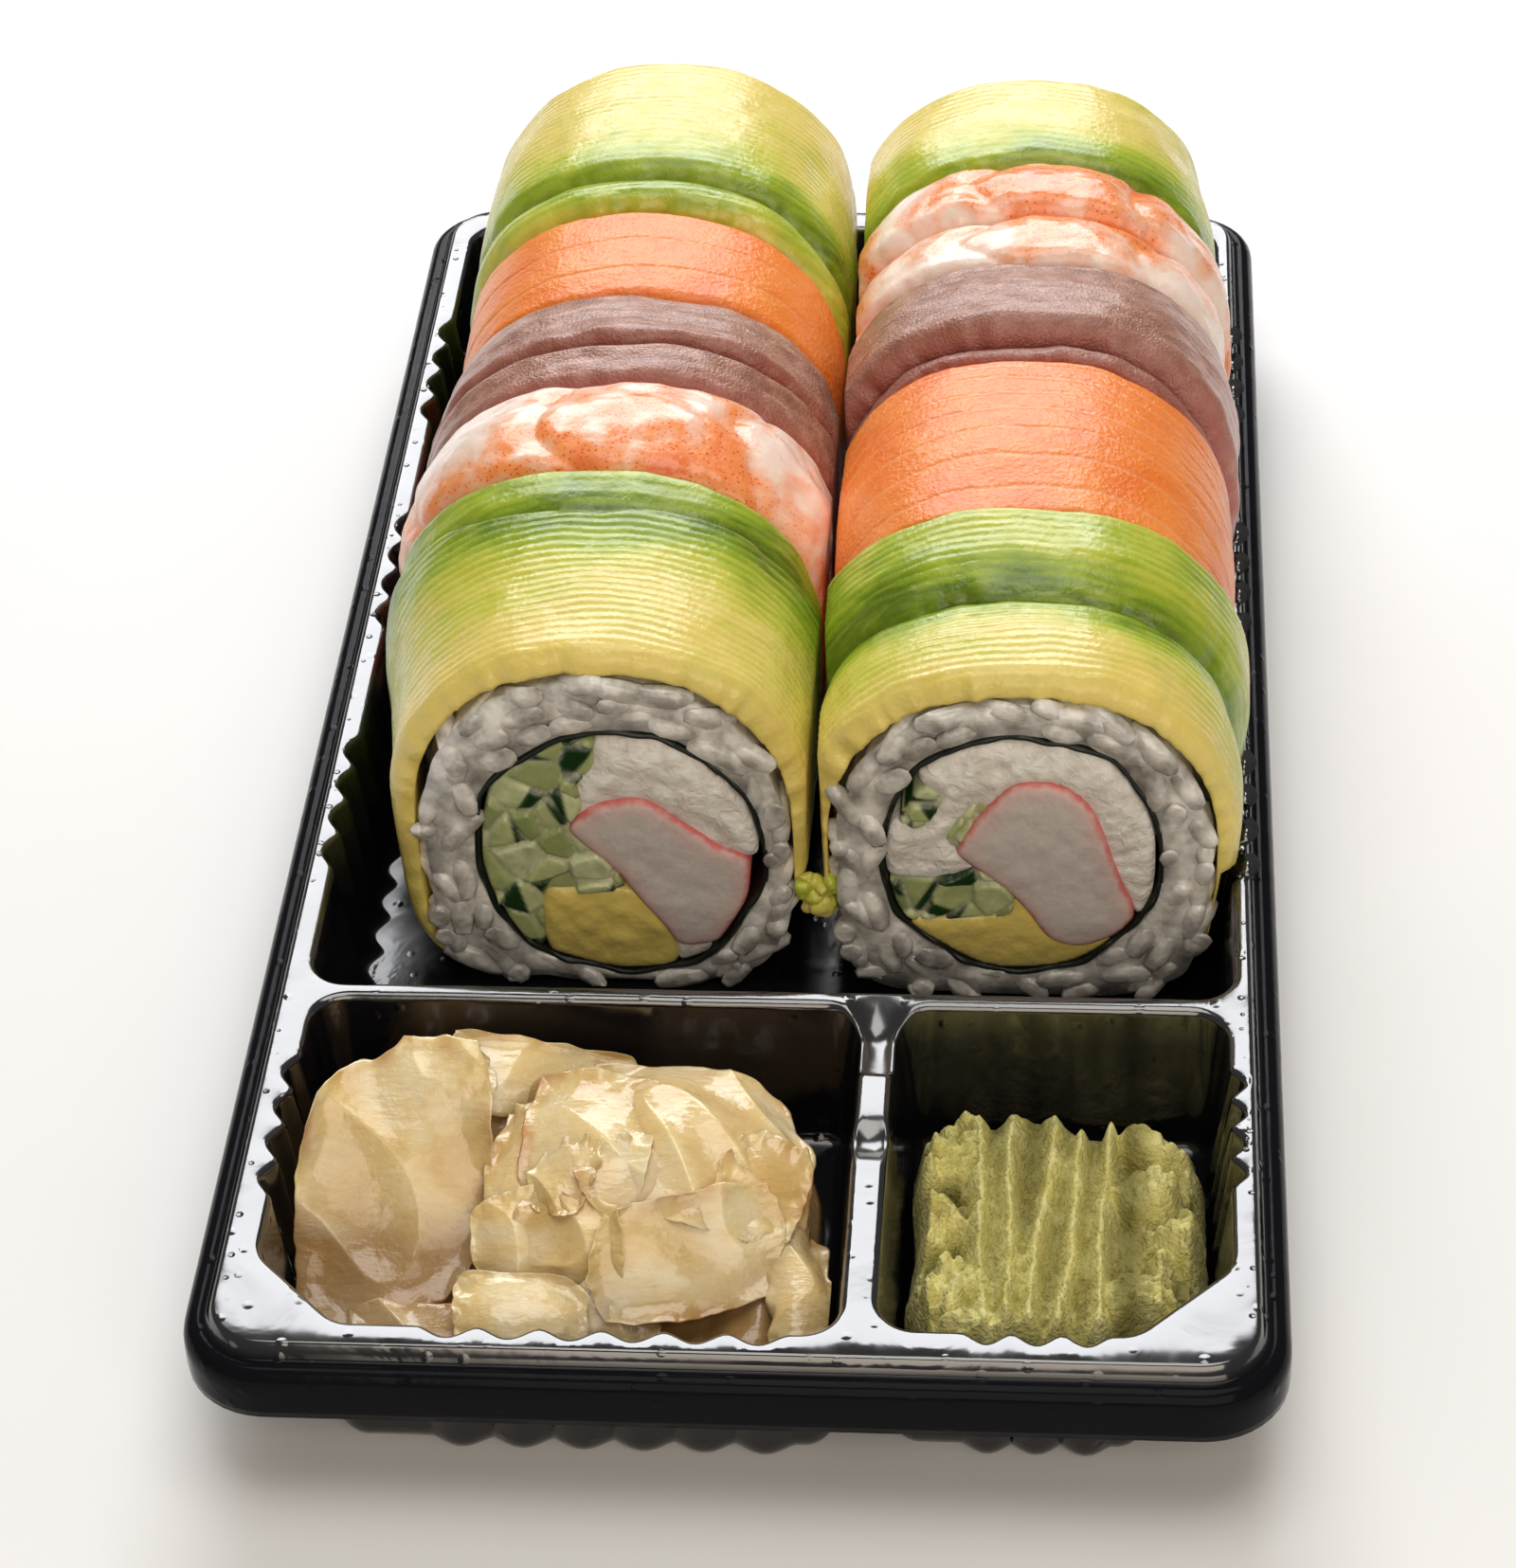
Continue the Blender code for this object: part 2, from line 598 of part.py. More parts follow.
def make_right_fillings(row):
    """Crab stick, cucumber batons, avocado and cream cheese of the right roll."""
    crab_top = [(-6.2, 0.5), (-5.4, 2.6), (-3.0, 6.1), (-0.6, 9.2), (3.9, 9.2), (6.6, 6.5),
                (7.9, 3.2), (9.2, -1.6), (11.4, -7.0)]
    crab_base = [(9.3, -9.8), (6.0, -11.4), (3.0, -10.6), (0.6, -6.3), (-1.8, -3.4), (-4.3, -1.4)]
    seam = [(-9.0, -3.2), (-6.2, -2.6), (-4.3, -1.4)]
    make_filling("crab_stick_right", row, crab_top + crab_base, "crab_stick", 0.5)
    baton_a = [(-9.4, 8.9), (-7.3, 7.0), (-9.6, 3.2), (-12.1, 4.0)]
    baton_b = [(-4.4, 6.9), (-7.6, 1.9)] + crab_top[:3]
    make_filling("cucumber_baton_right_a", row, baton_a, "cucumber", 0.3)
    make_filling("cucumber_baton_right_b", row, baton_b, "cucumber", 0.3)
    make_filling("cream_cheese_right", row, ring_arc(row, -28, 136, 15) + baton_a
                 + ring_arc(row, 167, 191, 3) + seam + [crab_top[0], (-7.6, 1.9), (-4.4, 6.9)]
                 + crab_top[2:], "cream_cheese")
    make_filling("cucumber_right", row, seam + [(-1.8, -3.4), (-0.4, -5.2), (-1.0, -8.0),
                 (-8.8, -8.2)] + ring_arc(row, 215, 192, 4), "cucumber", 0.3)
    make_filling("avocado_strip_right", row, [(-8.8, -8.2), (-1.0, -8.0), (-0.4, -5.2),
                 (0.6, -6.3), (3.0, -10.6), (6.0, -11.4), (8.2, -10.4)]
                 + ring_arc(row, 312, 216, 11), "avocado", 0.2)


# Toppings

def edge_line(triple, turns):
    """An edge's Y at each angle from the top, through its places at the left, top and right."""
    left, top, right = triple
    aside = (np.abs(turns) / SIDE_TURN) ** EDGE_CURVE
    return top + np.where(turns < 0, left - top, right - top) * aside


# Across a slice: where each line of points is, and its share of the thickness there.
TOPPING_STATIONS = ((0.0, 0.72), (0.18, 1.0), (0.82, 1.0), (1.0, 0.72))
TIP_SHARE = 0.35
TIP_SWELL = 0.81


def make_topping(topping):
    """A slice laid over a roll, thinner at its two lower ends and rounded at its edges."""
    row = ROWS[topping.row]
    turns = turns_over(row, *topping.ends)
    share = np.linspace(0, 1, len(turns))
    front = edge_line(topping.front, turns) + HALF_GAP
    back = edge_line(topping.back, turns) - HALF_GAP
    tip = np.minimum(1.0, TIP_SHARE + TIP_SWELL * np.sin(np.pi * share) ** 0.5)
    upper, lower = [], []
    for along, edge in TOPPING_STATIONS:
        y = front * (1 - along) + back * along
        thickness = np.interp(along, (0, 0.5, 1), topping.thickness) * edge * tip
        upper.append(row_point(row, turns, y, TOPPING_CLEARANCE + thickness))
        lower.append(row_point(row, turns, y, TOPPING_CLEARANCE))
    return make_object(topping.name, *slab(np.array(upper), np.array(lower)), topping.material)


LEFT_ENDS = (4.5, 14.0)
RIGHT_ENDS = (12.0, 9.5)
TOPPINGS = [
    Topping("avocado_front_left", "left", (-27.9, -27.9, -27.9), (4.0, -4.0, -5.0),
            LEFT_ENDS, (2.9, 3.3, 4.2), "avocado"),
    Topping("avocado_back_left", "left", (4.0, -4.0, -5.0), (9.0, 4.0, -2.6),
            (9.0, 15.0), (2.0, 2.9, 3.3), "avocado"),
    Topping("prawn_left", "left", (9.0, 4.0, -2.6), (18.0, 20.0, 19.0),
            (8.0, 13.0), (2.8, 4.0, 3.2), "prawn"),
    Topping("tuna_near_left", "left", (18.0, 20.0, 19.0), (25.0, 26.5, 26.5),
            (8.0, 13.0), (2.7, 3.1, 3.6), "tuna"),
    Topping("tuna_far_left", "left", (25.0, 26.5, 26.5), (37.0, 37.0, 34.0),
            (7.0, 13.0), (4.0, 3.4, 2.8), "tuna"),
    Topping("salmon_left", "left", (37.0, 37.0, 34.0), (57.0, 54.0, 43.0),
            (7.0, 14.0), (2.4, 2.8, 2.8), "salmon"),
    Topping("avocado_step_left", "left", (57.0, 54.0, 43.0), (64.0, 61.0, 51.0),
            (6.0, 14.0), (3.4, 3.6, 2.6), "avocado"),
    Topping("avocado_far_left", "left", (64.0, 61.0, 51.0), (85.0, 85.0, 85.0),
            (5.0, 12.0), (3.6, 3.6, 3.2), "avocado"),
    Topping("avocado_front_right", "right", (-29.0, -29.0, -29.0), (-14.0, -15.0, -16.0),
            RIGHT_ENDS, (2.9, 3.2, 2.4), "avocado"),
    Topping("avocado_back_right", "right", (-14.0, -15.0, -16.0), (-1.0, -2.4, -4.0),
            RIGHT_ENDS, (2.4, 4.0, 4.2), "avocado"),
    Topping("salmon_right", "right", (-1.0, -2.4, -4.0), (24.0, 26.0, 15.0),
            (10.0, 12.0), (2.6, 3.0, 2.6), "salmon"),
    Topping("tuna_thin_right", "right", (24.0, 26.0, 15.0), (27.0, 29.0, 19.0),
            (11.0, 14.0), (2.2, 2.2, 2.2), "tuna"),
    Topping("tuna_thick_right", "right", (27.0, 29.0, 19.0), (44.0, 44.0, 38.0),
            (11.0, 16.0), (4.6, 4.4, 3.4), "tuna"),
    Topping("prawn_near_right", "right", (44.0, 44.0, 38.0), (53.0, 54.0, 50.0),
            (11.0, 16.0), (3.2, 3.4, 2.8), "prawn"),
    Topping("prawn_far_right", "right", (53.0, 54.0, 50.0), (64.0, 65.0, 60.0),
            (11.0, 16.0), (3.9, 3.8, 3.0), "prawn"),
    Topping("avocado_far_right", "right", (64.0, 65.0, 60.0), (84.0, 84.0, 84.0),
            (10.0, 15.0), (3.0, 3.6, 3.2), "avocado"),
]


# Pickled ginger. A slice is a rounded sheet: its middle and half sizes, how it is turned, tilted
# along and rolled across, how far it is bent along and cupped across, all in degrees, how far its
# back is shifted, how far its back edge hangs, how round its outline is, and its flare and curl.
Slice = namedtuple("Slice", "middle half turn tilt roll bend cup skew hem roundness flare curl",
                   defaults=(0.0, 0.0))
GINGER_SLICES = (
    Slice((-33.0, -70.0, 13.9), (9.9, 12.7), 18, -9, 44, 2, 4, 0.37, -1.8, 0.73, 2.0, -2.7),
    Slice((-19.4, -56.6, 15.3), (9.3, 4.6), 5, 16, 19, 9, 55, -0.11, -3.0, 0.3),
    Slice((-3.6, -66.1, 18.0), (11.0, 10.0), -3, 15, 6, 38, 41, -0.24, -2.0, 0.45),
    Slice((-5.0, -77.2, 12.7), (9.4, 5.9), 19, 4, 45, 15, -8, 0.08, 2.4, 0.57),
    Slice((-15.0, -66.7, 18.7), (6.5, 8.1), -6, -6, 8, 31, 37, 0.0, -2.8, 0.42),
    Slice((-16.1, -77.0, 14.0), (5.7, 4.4), -15, -6, 51, 19, 30, -0.11, 1.8, 0.6),
    Slice((-20.8, -69.3, 15.7), (3.9, 8.5), -7, -7, 19, 47, 36, -0.12, -1.4, 0.37),
    Slice((-19.5, -84.4, 11.9), (6.6, 5.2), -1, 5, 25, 30, 62, -0.12, -2.7, 0.55),
    Slice((5.6, -78.7, 10.7), (6.8, 4.5), -75, 11, -9, 23, 73, -0.26, -0.7, 0.37),
    Slice((-30.6, -84.2, 7.2), (6.0, 5.2), -2, -5, 26, 17, 33, -0.13, 0.8, 0.4),
)
GINGER_THICKNESS = 1.5
SLICE_STEP = 0.061
SHEET_FLOOR = 1.6
SHEET_OVERHANG = -0.3
HEM_START = 0.35
GINGER_BOX = (-39.2, 6.4, -86.6, -52.4)
# A mound under the slices: its middle, half sizes and height.
GINGER_MOUNDS = ((-32.0, -64.5, 8.5, 7.5, 12.5), (-7.0, -66.0, 12.0, 8.5, 11.0),
                 (3.0, -76.0, 6.5, 7.5, 4.0), (-19.5, -56.8, 9.0, 4.5, 9.5),
                 (-19.5, -83.8, 6.5, 4.0, 7.5))


def rotation(turn, tilt, roll):
    """The matrix that rolls about X, then tilts about Y, then turns about Z, in degrees."""
    turn, tilt, roll = (math.radians(angle) for angle in (turn, tilt, roll))
    about_x = np.array([[1, 0, 0], [0, math.cos(roll), -math.sin(roll)],
                        [0, math.sin(roll), math.cos(roll)]])
    about_y = np.array([[math.cos(tilt), 0, math.sin(tilt)], [0, 1, 0],
                        [-math.sin(tilt), 0, math.cos(tilt)]])
    about_z = np.array([[math.cos(turn), -math.sin(turn), 0],
                        [math.sin(turn), math.cos(turn), 0], [0, 0, 1]])
    return about_z @ about_y @ about_x


def ginger_slice(item, across=7, along=6):
    """A thin slice: a rounded sheet bent into an arc along its length and another across it."""
    u, v = np.meshgrid(np.linspace(-1, 1, across), np.linspace(-1, 1, along), indexing="ij")
    x = (u * np.sqrt(1 - item.roundness * v * v / 2) + item.skew * v) * item.half[0]
    y = v * np.sqrt(1 - item.roundness * u * u / 2) * item.half[1]
    along_radius = item.half[0] / math.radians(item.bend)
    across_radius = item.half[1] / math.radians(item.cup)
    height = along_radius * (np.cos(x / along_radius) - 1)
    height += across_radius * (np.cos(y / across_radius) - 1)
    height += item.flare * u * u * v + item.curl * v ** 3
    height -= item.hem * np.maximum(v - HEM_START, 0) ** 2
    sheet = np.stack([along_radius * np.sin(x / along_radius),
                      across_radius * np.sin(y / across_radius), height], axis=-1)
    return sheet @ rotation(item.turn, item.tilt, item.roll).T + np.array(item.middle)


def grid_normals(grid):
    """Upward unit normals of a grid of points."""
    normal = np.cross(np.gradient(grid, axis=0), np.gradient(grid, axis=1))
    return normal / np.linalg.norm(normal, axis=-1, keepdims=True)


def keep_in_pocket(points, pocket, margin):
    """Points held inside a pocket's free space, as soft food leans on its walls and floor."""
    x, y = points[..., 0], points[..., 1]
    z = np.maximum(points[..., 2], FOOD_BASE + SHEET_FLOOR - margin)
    reach = wall_inset(z, margin, SHEET_OVERHANG)
    x = np.clip(x, pocket.left + reach, pocket.right - reach)
    y = np.clip(y, pocket.front + reach, pocket.back - reach)
    tangent = pocket.radius * (2.0 - math.sqrt(2.0))
    for corner_x, corner_y, cut in ((pocket.left, pocket.front, pocket.cut_left),
                                    (pocket.right, pocket.front, pocket.cut_right),
                                    (pocket.left, pocket.back, 0), (pocket.right, pocket.back, 0)):
        side_x = 1 if corner_x == pocket.right else -1
        side_y = 1 if corner_y == pocket.back else -1
        past = side_x * (x - corner_x) + side_y * (y - corner_y)
        past = np.maximum(past + (cut or tangent) + reach * math.sqrt(2.0), 0) / 2
        x, y = x - side_x * past, y - side_y * past
    return np.stack([x, y, z], axis=-1)


def mound_solid(height, pocket, box, nx, ny, corner):
    """A closed heap: a height field over a rounded footprint, with a flat base."""
    u, v = np.meshgrid(np.linspace(-1, 1, nx), np.linspace(-1, 1, ny), indexing="ij")
    bulge = 1 - corner * (u * v) ** 4
    x = (box[0] + box[1]) / 2 + u * bulge * (box[1] - box[0]) / 2
    y = (box[2] + box[3]) / 2 + v * bulge * (box[3] - box[2]) / 2
    upper = keep_in_pocket(np.stack([x, y, height(x, y, u, v)], axis=-1), pocket, 0.0)
    middle = upper.mean(axis=(0, 1))
    lower = (upper - middle) * HEAP_FOOT + middle
    lower[..., 2] = FOOD_BASE
    return slab(upper, lower)


def ginger_height(x, y, u, v):
    """The core of the ginger heap: broad mounds under the slices."""
    height = np.full(x.shape, 3.2)
    for cx, cy, sx, sy, tall in GINGER_MOUNDS:
        height += tall * np.exp(-(((x - cx) / sx) ** 2 + ((y - cy) / sy) ** 2))
    edge = np.clip(1.25 - np.maximum(np.abs(u), np.abs(v)) ** 6, 0.25, 1)
    return FOOD_BASE + height * edge


def make_ginger():
    """The pickled ginger: a core of mounds with its folded slices joined on."""
    pocket = POCKETS["ginger"]
    core = make_object("pickled_ginger", *mound_solid(ginger_height, pocket, GINGER_BOX, 10, 10, 0.16),
                       "pickled_ginger", 60.0)
    slices = []
    for number, item in enumerate(GINGER_SLICES):
        upper = ginger_slice(item)
        lower = upper - grid_normals(upper) * GINGER_THICKNESS
        margin = SLICE_STEP * number
        solid = slab(keep_in_pocket(upper, pocket, margin),
                     keep_in_pocket(lower, pocket, margin + 0.5))
        slices.append(make_object(f"ginger_slice_{number}", *solid, "pickled_ginger", 60.0))
    apply_boolean(core, "UNION", slices, "MANIFOLD")
    keep_largest_body(core)
    return core


# Wasabi
WASABI_BOX = (14.4, 42.6, -88.2, -50.8)
WASABI_LEVEL = 7.6
RIDGE_HEIGHT = 2.6
RIDGES = ((24.1, 0.1), (27.2, 1.1), (30.0, 1.2), (32.8, 0.6), (21.3, -0.8))
WASABI_LUMPS = ((38.0, -59.0, 3.6, 4.2), (36.2, -66.5, 3.0, 3.4), (39.4, -73.0, 2.8, 3.2),
                (35.8, -80.0, 3.4, 3.4), (18.6, -60.5, 3.2, 2.4), (17.4, -70.0, 2.6, 2.2),
                (18.8, -79.5, 3.0, 3.4), (20.0, -85.0, 2.6, 2.6), (38.4, -52.8, 2.6, 2.2))


def wasabi_height(x, y, u, v):
    """Wasabi pressed into the pocket: sharp lengthways ridges with clumps at both sides."""
    height = np.full(x.shape, WASABI_LEVEL)
    for middle, lean in RIDGES:
        line = middle + lean * (y + 68) / 17 + 0.35 * np.sin(y / 4.7 + middle)
        height += RIDGE_HEIGHT * np.exp(-np.abs((x - line) / 0.95) ** 1.5)
    for cx, cy, radius, tall in WASABI_LUMPS:
        away = ((x - cx) ** 2 + (y - cy) ** 2) / radius ** 2
        height += tall * np.exp(-away ** 1.5)
    front = np.clip((-y - 68) / 18, 0, 1)
    height += 1.6 * front
    edge = np.clip(1.3 - np.maximum(np.abs(u), np.abs(v)) ** 8, 0.35, 1)
    return FOOD_BASE + height * edge


def make_wasabi():
    """The wasabi as one heap."""
    solid = mound_solid(wasabi_height, POCKETS["wasabi"], WASABI_BOX, 20, 9, 0.12)
    return make_object("wasabi", *solid, "wasabi", 60.0)


def main():
    """Build every piece of the tray and its food."""
    remove_scene_objects()
    make_tray()
    for row in ROWS.values():
        make_rice(row)
        make_nori(row)
    make_left_fillings(ROWS["left"])
    make_right_fillings(ROWS["right"])
    for topping in TOPPINGS:
        make_topping(topping)
    make_ginger()
    make_wasabi()


main()
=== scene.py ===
"""The looks of a takeaway sushi tray: glossy black tray, two topped rolls, ginger and wasabi.

Sizes are in millimetres in the frame of the solids: the origin is at the middle of the tray's
underside, +X to the right, +Y along the rolls to their far end, +Z up. They become metres where
a mesh is made.
"""
import json
import logging
import math
from dataclasses import dataclass, field
from enum import Enum
from typing import Callable, Sequence

import bmesh
import bpy
import numpy as np
from bpy.types import Material, Mesh, NodeSocket, Object
from mathutils import Matrix, Vector
from mathutils.geometry import delaunay_2d_cdt

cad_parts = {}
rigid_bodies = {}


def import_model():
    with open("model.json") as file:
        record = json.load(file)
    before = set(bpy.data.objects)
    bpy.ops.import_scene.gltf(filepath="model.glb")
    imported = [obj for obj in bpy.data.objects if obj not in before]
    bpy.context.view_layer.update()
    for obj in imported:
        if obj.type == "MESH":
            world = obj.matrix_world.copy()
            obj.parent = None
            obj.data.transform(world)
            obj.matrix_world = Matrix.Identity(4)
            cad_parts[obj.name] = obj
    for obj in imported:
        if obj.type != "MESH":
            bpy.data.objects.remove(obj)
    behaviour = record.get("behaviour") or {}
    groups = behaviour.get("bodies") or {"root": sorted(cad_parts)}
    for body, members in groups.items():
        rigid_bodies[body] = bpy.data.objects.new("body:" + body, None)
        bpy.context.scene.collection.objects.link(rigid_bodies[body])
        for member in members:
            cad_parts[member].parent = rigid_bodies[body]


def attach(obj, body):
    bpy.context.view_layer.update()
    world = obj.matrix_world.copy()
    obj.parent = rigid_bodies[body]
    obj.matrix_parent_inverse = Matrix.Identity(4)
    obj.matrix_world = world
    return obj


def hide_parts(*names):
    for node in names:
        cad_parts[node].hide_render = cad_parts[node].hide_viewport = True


for start_object in list(bpy.data.objects):
    bpy.data.objects.remove(start_object, do_unlink=True)
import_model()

LOG = logging.getLogger("sushi_tray")
MM = 0.001
Array = np.ndarray
Colour = tuple[float, float, float]
Triple = tuple[float, float, float]
Value = NodeSocket | float | Colour


class Slot(Enum):
    """The record's material slots."""

    TRAY = "tray_plastic"
    RICE = "rice"
    SEAWEED = "seaweed"
    CHEESE = "cream_cheese"
    CRAB = "crab_stick"
    CUCUMBER = "cucumber"
    AVOCADO = "avocado"
    PRAWN = "prawn"
    TUNA = "tuna"
    SALMON = "salmon"
    GINGER = "pickled_ginger"
    WASABI = "wasabi"


# Noise and small sums


def smooth_step(value: Array) -> Array:
    """Runs from 0 to 1 with level ends: 3t^2 - 2t^3, with t held between 0 and 1."""
    share = np.clip(value, 0.0, 1.0)
    return share * share * (3 - 2 * share)


def lattice(ix: Array, iy: Array, iz: Array, seed: int) -> Array:
    """A repeatable value from -1 to 1 at each whole-numbered corner, from a bit hash.

    Args:
        ix, iy, iz: the corner's whole numbers.
        seed: which noise it is.

    Returns:
        Values from -1 to 1.
    """
    mixed = (ix * 374761393 + iy * 668265263 + iz * 1442695041 + seed * 97531) & 0xFFFFFFFF
    mixed = ((mixed ^ (mixed >> 13)) * 1274126177) & 0xFFFFFFFF
    return ((mixed ^ (mixed >> 16)) & 0xFFFF) / 32767.5 - 1.0


def noise(points: Array, size: float, seed: int = 0) -> Array:
    """Smooth value noise: each corner's value, blended with a smooth step along each axis.

    Args:
        points: places in millimetres, in the last axis.
        size: the width of a bump in millimetres.
        seed: which noise it is.

    Returns:
        Values from -1 to 1.
    """
    scaled = np.asarray(points, float) / size
    base = np.floor(scaled).astype(np.int64)
    share = smooth_step(scaled - base)
    total = np.zeros(scaled.shape[:-1])
    for dx in (0, 1):
        for dy in (0, 1):
            for dz in (0, 1):
                weight = np.where(dx, share[..., 0], 1 - share[..., 0])
                weight = weight * np.where(dy, share[..., 1], 1 - share[..., 1])
                weight = weight * np.where(dz, share[..., 2], 1 - share[..., 2])
                total += weight * lattice(base[..., 0] + dx, base[..., 1] + dy, base[..., 2] + dz, seed)
    return total


def fractal(points: Array, size: float, octaves: int = 3, seed: int = 0) -> Array:
    """Noise added to itself at half the size and half the height, octaves times.

    Args:
        points: places in millimetres.
        size: the width of the largest bumps.
        octaves: how many sizes are added.
        seed: which noise it is.

    Returns:
        Values between -2 and 2.
    """
    total = np.zeros(np.shape(points)[:-1])
    for octave in range(octaves):
        total += noise(points, size / 2 ** octave, seed + 17 * octave) / 2 ** octave
    return total


def smooth_knots(at: Array, knots: Sequence[float], values: Sequence[float]) -> Array:
    """Values read between knots with a smooth step from each to the next.

    Args:
        at: where to read.
        knots: rising places.
        values: the value at each knot.

    Returns:
        The value at each place.
    """
    at = np.clip(at, knots[0], knots[-1])
    index = np.clip(np.searchsorted(knots, at, side="right") - 1, 0, len(knots) - 2)
    knots, values = np.asarray(knots, float), np.asarray(values, float)
    share = smooth_step((at - knots[index]) / (knots[index + 1] - knots[index]))
    return values[index] * (1 - share) + values[index + 1] * share


def signed_power(value: Array, power: float) -> Array:
    """The power of a value's size, with its sign kept."""
    return np.sign(value) * np.abs(value) ** power


# Meshes


def grid_faces(rows: int, columns: int, wrap: bool = False, start: int = 0) -> Array:
    """Quads of a grid of points stored row by row; wrap joins its last column to its first.

    Args:
        rows, columns: the grid's size.
        wrap: whether it closes on itself.
        start: the number of its first point.

    Returns:
        Rows of four point numbers.
    """
    across = columns if wrap else columns - 1
    i, j = np.meshgrid(np.arange(rows - 1), np.arange(across), indexing="ij")
    after = (j + 1) % columns
    quads = np.stack([i * columns + j, i * columns + after,
                      (i + 1) * columns + after, (i + 1) * columns + j], axis=-1)
    return quads.reshape(-1, 4) + start


def fan_faces(ring: Array, middle: int) -> Array:
    """Triangles from each side of a closed ring of point numbers to one middle point."""
    return np.stack([ring, np.roll(ring, -1), np.full(len(ring), middle)], axis=-1)


def band_faces(first: Array, second: Array) -> Array:
    """Quads between two closed rings of point numbers, from each point to the next one on."""
    return np.stack([first, np.roll(first, -1), np.roll(second, -1), second], axis=-1)


def ball_faces(rings: int, segments: int, count: int = 1) -> list[Array]:
    """Faces of balls that are stored one after the other, each with its rings and then two poles.

    Args:
        rings: the rings between the poles.
        segments: the points of a ring.
        count: how many balls there are.

    Returns:
        The triangles round the poles and the quads between rings.
    """
    ring = np.arange(segments)
    pole = rings * segments
    body = grid_faces(rings, segments, True)[:, ::-1]
    caps = np.vstack([fan_faces(ring, pole), fan_faces(ring + pole - segments, pole + 1)[:, ::-1]])
    step = np.arange(count)[:, None, None] * (pole + 2)
    return [(caps[None] + step).reshape(-1, 3), (body[None] + step).reshape(-1, 4)]


@dataclass
class MeshParts:
    """Points, faces and named values that are gathered into one mesh."""

    points: list[Array] = field(default_factory=list)
    faces: list[Array] = field(default_factory=list)
    traits: dict[str, list[Array]] = field(default_factory=dict)
    count: int = 0

    def add(self, points: Array, faces: Sequence[Array], **traits: Array) -> None:
        """Adds a body.

        Args:
            points: its points in millimetres, in any grid shape.
            faces: arrays of point numbers, one array for each number of corners.
            traits: a value for each point, kept in an attribute of that name.
        """
        flat = np.asarray(points, float).reshape(-1, 3)
        self.points.append(flat)
        self.faces += [np.asarray(face) + self.count for face in faces]
        for name in set(self.traits) | set(traits):
            kept = self.traits.setdefault(name, [np.zeros(self.count)] if self.count else [])
            value = np.zeros(len(flat)) + np.asarray(traits.get(name, 0.0)).ravel()
            kept.append(value)
        self.count += len(flat)

    def mesh(self, name: str) -> Mesh:
        """The gathered bodies as a smooth shaded mesh in metres."""
        mesh = bpy.data.meshes.new(name)
        points = np.concatenate(self.points) * MM
        mesh.vertices.add(len(points))
        mesh.vertices.foreach_set("co", points.astype(np.float32).ravel())
        sizes = np.concatenate([np.full(len(face), face.shape[1]) for face in self.faces])
        corners = np.concatenate([face.ravel() for face in self.faces])
        mesh.loops.add(len(corners))
        mesh.polygons.add(len(sizes))
        starts = np.concatenate([[0], np.cumsum(sizes)[:-1]])
        mesh.polygons.foreach_set("loop_start", starts.astype(np.int32))
        mesh.loops.foreach_set("vertex_index", corners.astype(np.int32))
        for trait, values in self.traits.items():
            attribute = mesh.attributes.new(trait, "FLOAT", "POINT")
            attribute.data.foreach_set("value", np.concatenate(values).astype(np.float32))
        mesh.update(calc_edges=True)
        mesh.validate()
        mesh.shade_smooth()
        return mesh


def place_piece(name: str, mesh: Mesh, material: Material,
                replaced: Sequence[str] = ()) -> Object:
    """Puts a finished mesh into the scene, riding on the tray.

    Args:
        name: the piece's name.
        mesh: its mesh, already in place.
        material: its finish.
        replaced: the solids that it stands for.

    Returns:
        The new object.
    """
    mesh.materials.append(material)
    piece = bpy.data.objects.new(name, mesh)
    bpy.context.scene.collection.objects.link(piece)
    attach(piece, "root")
    if replaced:
        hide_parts(*replaced)
    LOG.info("%s: %d faces", name, len(mesh.polygons))
    return piece


# Outlines in a plane


def round_corners(corners: Sequence[Sequence[float]], radius: float, step: float) -> Array:
    """An anticlockwise polygon with an arc in each corner, as evenly spaced points and normals.

    Args:
        corners: the polygon's corners.
        radius: the arcs' radius.
        step: the distance between points.

    Returns:
        Rows of x, y and the outward normal's x, y.
    """
    corners = np.array(corners, float)
    runs = []
    for before, here, after in zip(np.roll(corners, 1, axis=0), corners, np.roll(corners, -1, axis=0)):
        inward = (here - before) / np.linalg.norm(here - before)
        onward = (after - here) / np.linalg.norm(after - here)
        turn = math.atan2(inward[0] * onward[1] - inward[1] * onward[0], inward @ onward)
        reach = radius * math.tan(turn / 2)
        hub = here - inward * reach + radius * np.array([-inward[1], inward[0]])
        first = math.atan2(-inward[0], inward[1])
        angle = first + np.linspace(0, turn, max(3, int(radius * turn / step) + 2))
        ray = np.stack([np.cos(angle), np.sin(angle)], axis=-1)
        runs.append(np.hstack([hub + radius * ray, ray]))
    line = np.vstack(runs + [runs[0][:1]])
    length = np.concatenate([[0], np.cumsum(np.linalg.norm(np.diff(line[:, :2], axis=0), axis=1))])
    at = np.linspace(0, length[-1], int(length[-1] / step), endpoint=False)
    even = np.stack([np.interp(at, length, line[:, k]) for k in range(4)], axis=-1)
    even[:, 2:] /= np.linalg.norm(even[:, 2:], axis=1)[:, None]
    return even


def cut_corners(loop: Array, times: int) -> Array:
    """A closed line with every corner replaced by two points, a fifth of the way along its sides."""
    for _ in range(times):
        ahead = np.roll(loop, -1, axis=0)
        loop = np.stack([0.8 * loop + 0.2 * ahead, 0.2 * loop + 0.8 * ahead], axis=1).reshape(-1, 2)
    return loop


